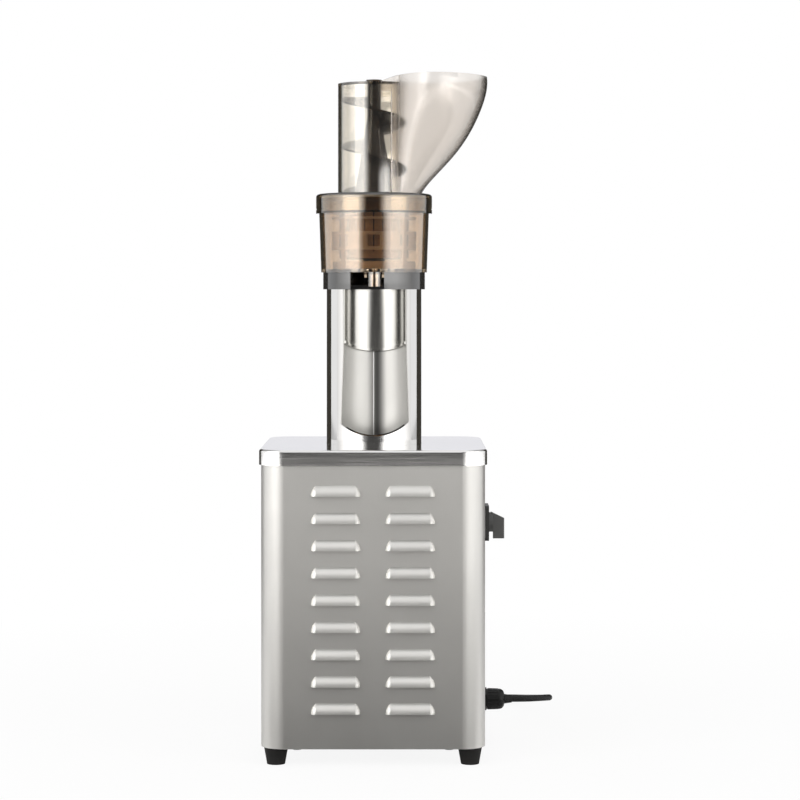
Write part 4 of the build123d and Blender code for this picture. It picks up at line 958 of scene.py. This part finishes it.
class JUICER_OT_stage(Operator):
    """Make the floor, the light and the camera"""

    bl_idname = "juicer.stage"
    bl_label = "Studio"

    def execute(self, context):
        looks = context.scene.juicer_studio
        self.make_floor()
        self.make_world(context, looks)
        softbox("softbox_left", LEFT_SOFTBOX, looks.left_power, LEFT_WHITE)
        softbox("softbox_right", RIGHT_SOFTBOX, looks.right_power, RIGHT_WHITE)
        self.make_arcs(looks)
        self.make_cards(looks)
        self.make_camera(context, looks)
        context.scene.view_settings.view_transform = "Standard"
        return {"FINISHED"}

    def make_floor(self):
        """White floor that keeps the object's shadow."""
        shape = bmesh.new()
        bmesh.ops.create_grid(shape, x_segments=1, y_segments=1, size=FLOOR_HALF)
        mesh = bpy.data.meshes.new("studio_floor")
        shape.to_mesh(mesh)
        shape.free()
        floor = placed("studio_floor", mesh)
        material = bpy.data.materials.new("studio_floor_white")
        material.use_nodes = True
        tree = material.node_tree
        tree.nodes.clear()
        paper = tree.nodes.new("ShaderNodeBsdfDiffuse")
        paper.inputs["Color"].default_value = FLOOR_PAPER
        glow = tree.nodes.new("ShaderNodeEmission")
        glow.inputs["Strength"].default_value = 1.0
        path = tree.nodes.new("ShaderNodeLightPath")
        place = tree.nodes.new("ShaderNodeTexCoord")
        reach = tree.nodes.new("ShaderNodeVectorMath")
        reach.operation = "LENGTH"
        tree.links.new(place.outputs["Object"], reach.inputs[0])
        white = spread(tree, reach.outputs["Value"], NEAR_WHITE, 1.0, SHADOW_REACH, WHITE_REACH)
        share = maths(tree, "MULTIPLY", path.outputs["Is Camera Ray"], white)
        mix = tree.nodes.new("ShaderNodeMixShader")
        out = tree.nodes.new("ShaderNodeOutputMaterial")
        tree.links.new(share, mix.inputs["Fac"])
        tree.links.new(paper.outputs["BSDF"], mix.inputs[1])
        tree.links.new(glow.outputs["Emission"], mix.inputs[2])
        tree.links.new(mix.outputs["Shader"], out.inputs["Surface"])
        mesh.materials.append(material)

    def make_world(self, context, looks):
        """Even light all round, and plain white where it is seen, mirrored or seen through."""
        world = bpy.data.worlds.new("studio_white")
        context.scene.world = world
        world.use_nodes = True
        tree = world.node_tree
        tree.nodes.clear()
        path = tree.nodes.new("ShaderNodeLightPath").outputs
        shown = maths(tree, "MAXIMUM", path["Is Camera Ray"], path["Is Glossy Ray"])
        shown = maths(tree, "MAXIMUM", shown, path["Is Transmission Ray"])
        sky = tree.nodes.new("ShaderNodeBackground")
        sky.inputs["Color"].default_value = (1, 1, 1, 1)
        out = tree.nodes.new("ShaderNodeOutputWorld")
        tree.links.new(spread(tree, shown, looks.room_light, 1.0, 0.0, 1.0), sky.inputs["Strength"])
        tree.links.new(sky.outputs["Background"], out.inputs["Surface"])

    def make_arcs(self, looks):
        """Light arcs on both sides at three heights, of which the lowest and the highest start earlier."""
        for side, start in ((-1, looks.left_start), (1, looks.right_start)):
            light_arc("box_arc", side, start - ARC_RISE / 2, BOX_ARC, looks.box_light, looks.box_light / 3)
            light_arc("column_arc", side, start, COLUMN_ARC, looks.column_light, looks.arc_end)
            light_arc("clear_arc", side, start - ARC_RISE / 3, CLEAR_ARC, looks.clear_light, looks.arc_end)

    def make_cards(self, looks):
        """Cards that give the metal and the clear parts their dark and pale stretches."""
        upright_card("dark_card", *DARK_CARD, looks.card_shade)
        tube_ends = [arc_place(1, angle, TUBE_CARD_RADIUS) for angle in TUBE_CARD_ENDS]
        upright_card("tube_card", *tube_ends, *TUBE_CARD_EDGES, looks.card_shade)
        outer, inner, low, high = EDGE_CARD
        for side in (-1, 1):
            edge_ends = [(side * x, y) for x, y in (outer, inner)]
            upright_card("edge_card", *edge_ends, low, high, looks.flag_shade, EDGE_WARM_WHITE)
        back = upright_card("back_card", *BACK_CARD, looks.back_shade, BACK_COOL_WHITE)
        back.visible_transmission = False
        floor_card("near_card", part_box("body_shell")[0].y, NEAR_CARD_END, looks.floor_shade)
        floor_card("far_card", NEAR_CARD_END, FAR_CARD_END, looks.far_shade)

    def make_camera(self, context, looks):
        """Level camera in front of the object."""
        camera = bpy.data.cameras.new("camera")
        camera.sensor_width = 36.0
        camera.lens = looks.lens
        camera.shift_y = looks.rise
        camera.clip_end = 30.0
        holder = placed("camera", camera)
        holder.location = (looks.eye[0] + AXIS_X, looks.eye[1], looks.eye[2])
        holder.rotation_euler = (math.pi / 2, 0, 0)
        context.scene.camera = holder


class JUICER_PT_looks(Panel):
    """Lists the juicer's pieces and their settings"""

    bl_label = "Slow juicer"
    bl_idname = "JUICER_PT_looks"
    bl_space_type = "VIEW_3D"
    bl_region_type = "UI"
    bl_category = "Juicer"

    def draw(self, context):
        for operator in OPERATORS:
            self.layout.operator(operator.bl_idname)
        for group in SETTINGS:
            settings = getattr(context.scene, group)
            for name in settings.__annotations__:
                self.layout.prop(settings, name)


SETTINGS = {
    "juicer_steel": SteelSettings,
    "juicer_clear": ClearSettings,
    "juicer_moulding": MouldingSettings,
    "juicer_lead": LeadSettings,
    "juicer_studio": StudioSettings,
}
OPERATORS = (
    JUICER_OT_stage,
    JUICER_OT_lead,
    JUICER_OT_box_steel,
    JUICER_OT_column_steel,
    JUICER_OT_feet,
    JUICER_OT_clear_parts,
    JUICER_OT_pressing,
    JUICER_OT_controls,
    JUICER_OT_drive,
)


def register():
    for name, group in SETTINGS.items():
        bpy.utils.register_class(group)
        setattr(bpy.types.Scene, name, PointerProperty(type=group))
    for operator in OPERATORS:
        bpy.utils.register_class(operator)
    bpy.utils.register_class(JUICER_PT_looks)


def unregister():
    bpy.utils.unregister_class(JUICER_PT_looks)
    for operator in reversed(OPERATORS):
        bpy.utils.unregister_class(operator)
    for name, group in SETTINGS.items():
        delattr(bpy.types.Scene, name)
        bpy.utils.unregister_class(group)


def main():
    register()
    for operator in OPERATORS:
        group, name = operator.bl_idname.split(".")
        getattr(getattr(bpy.ops, group), name)()


if __name__ == "__main__":
    main()
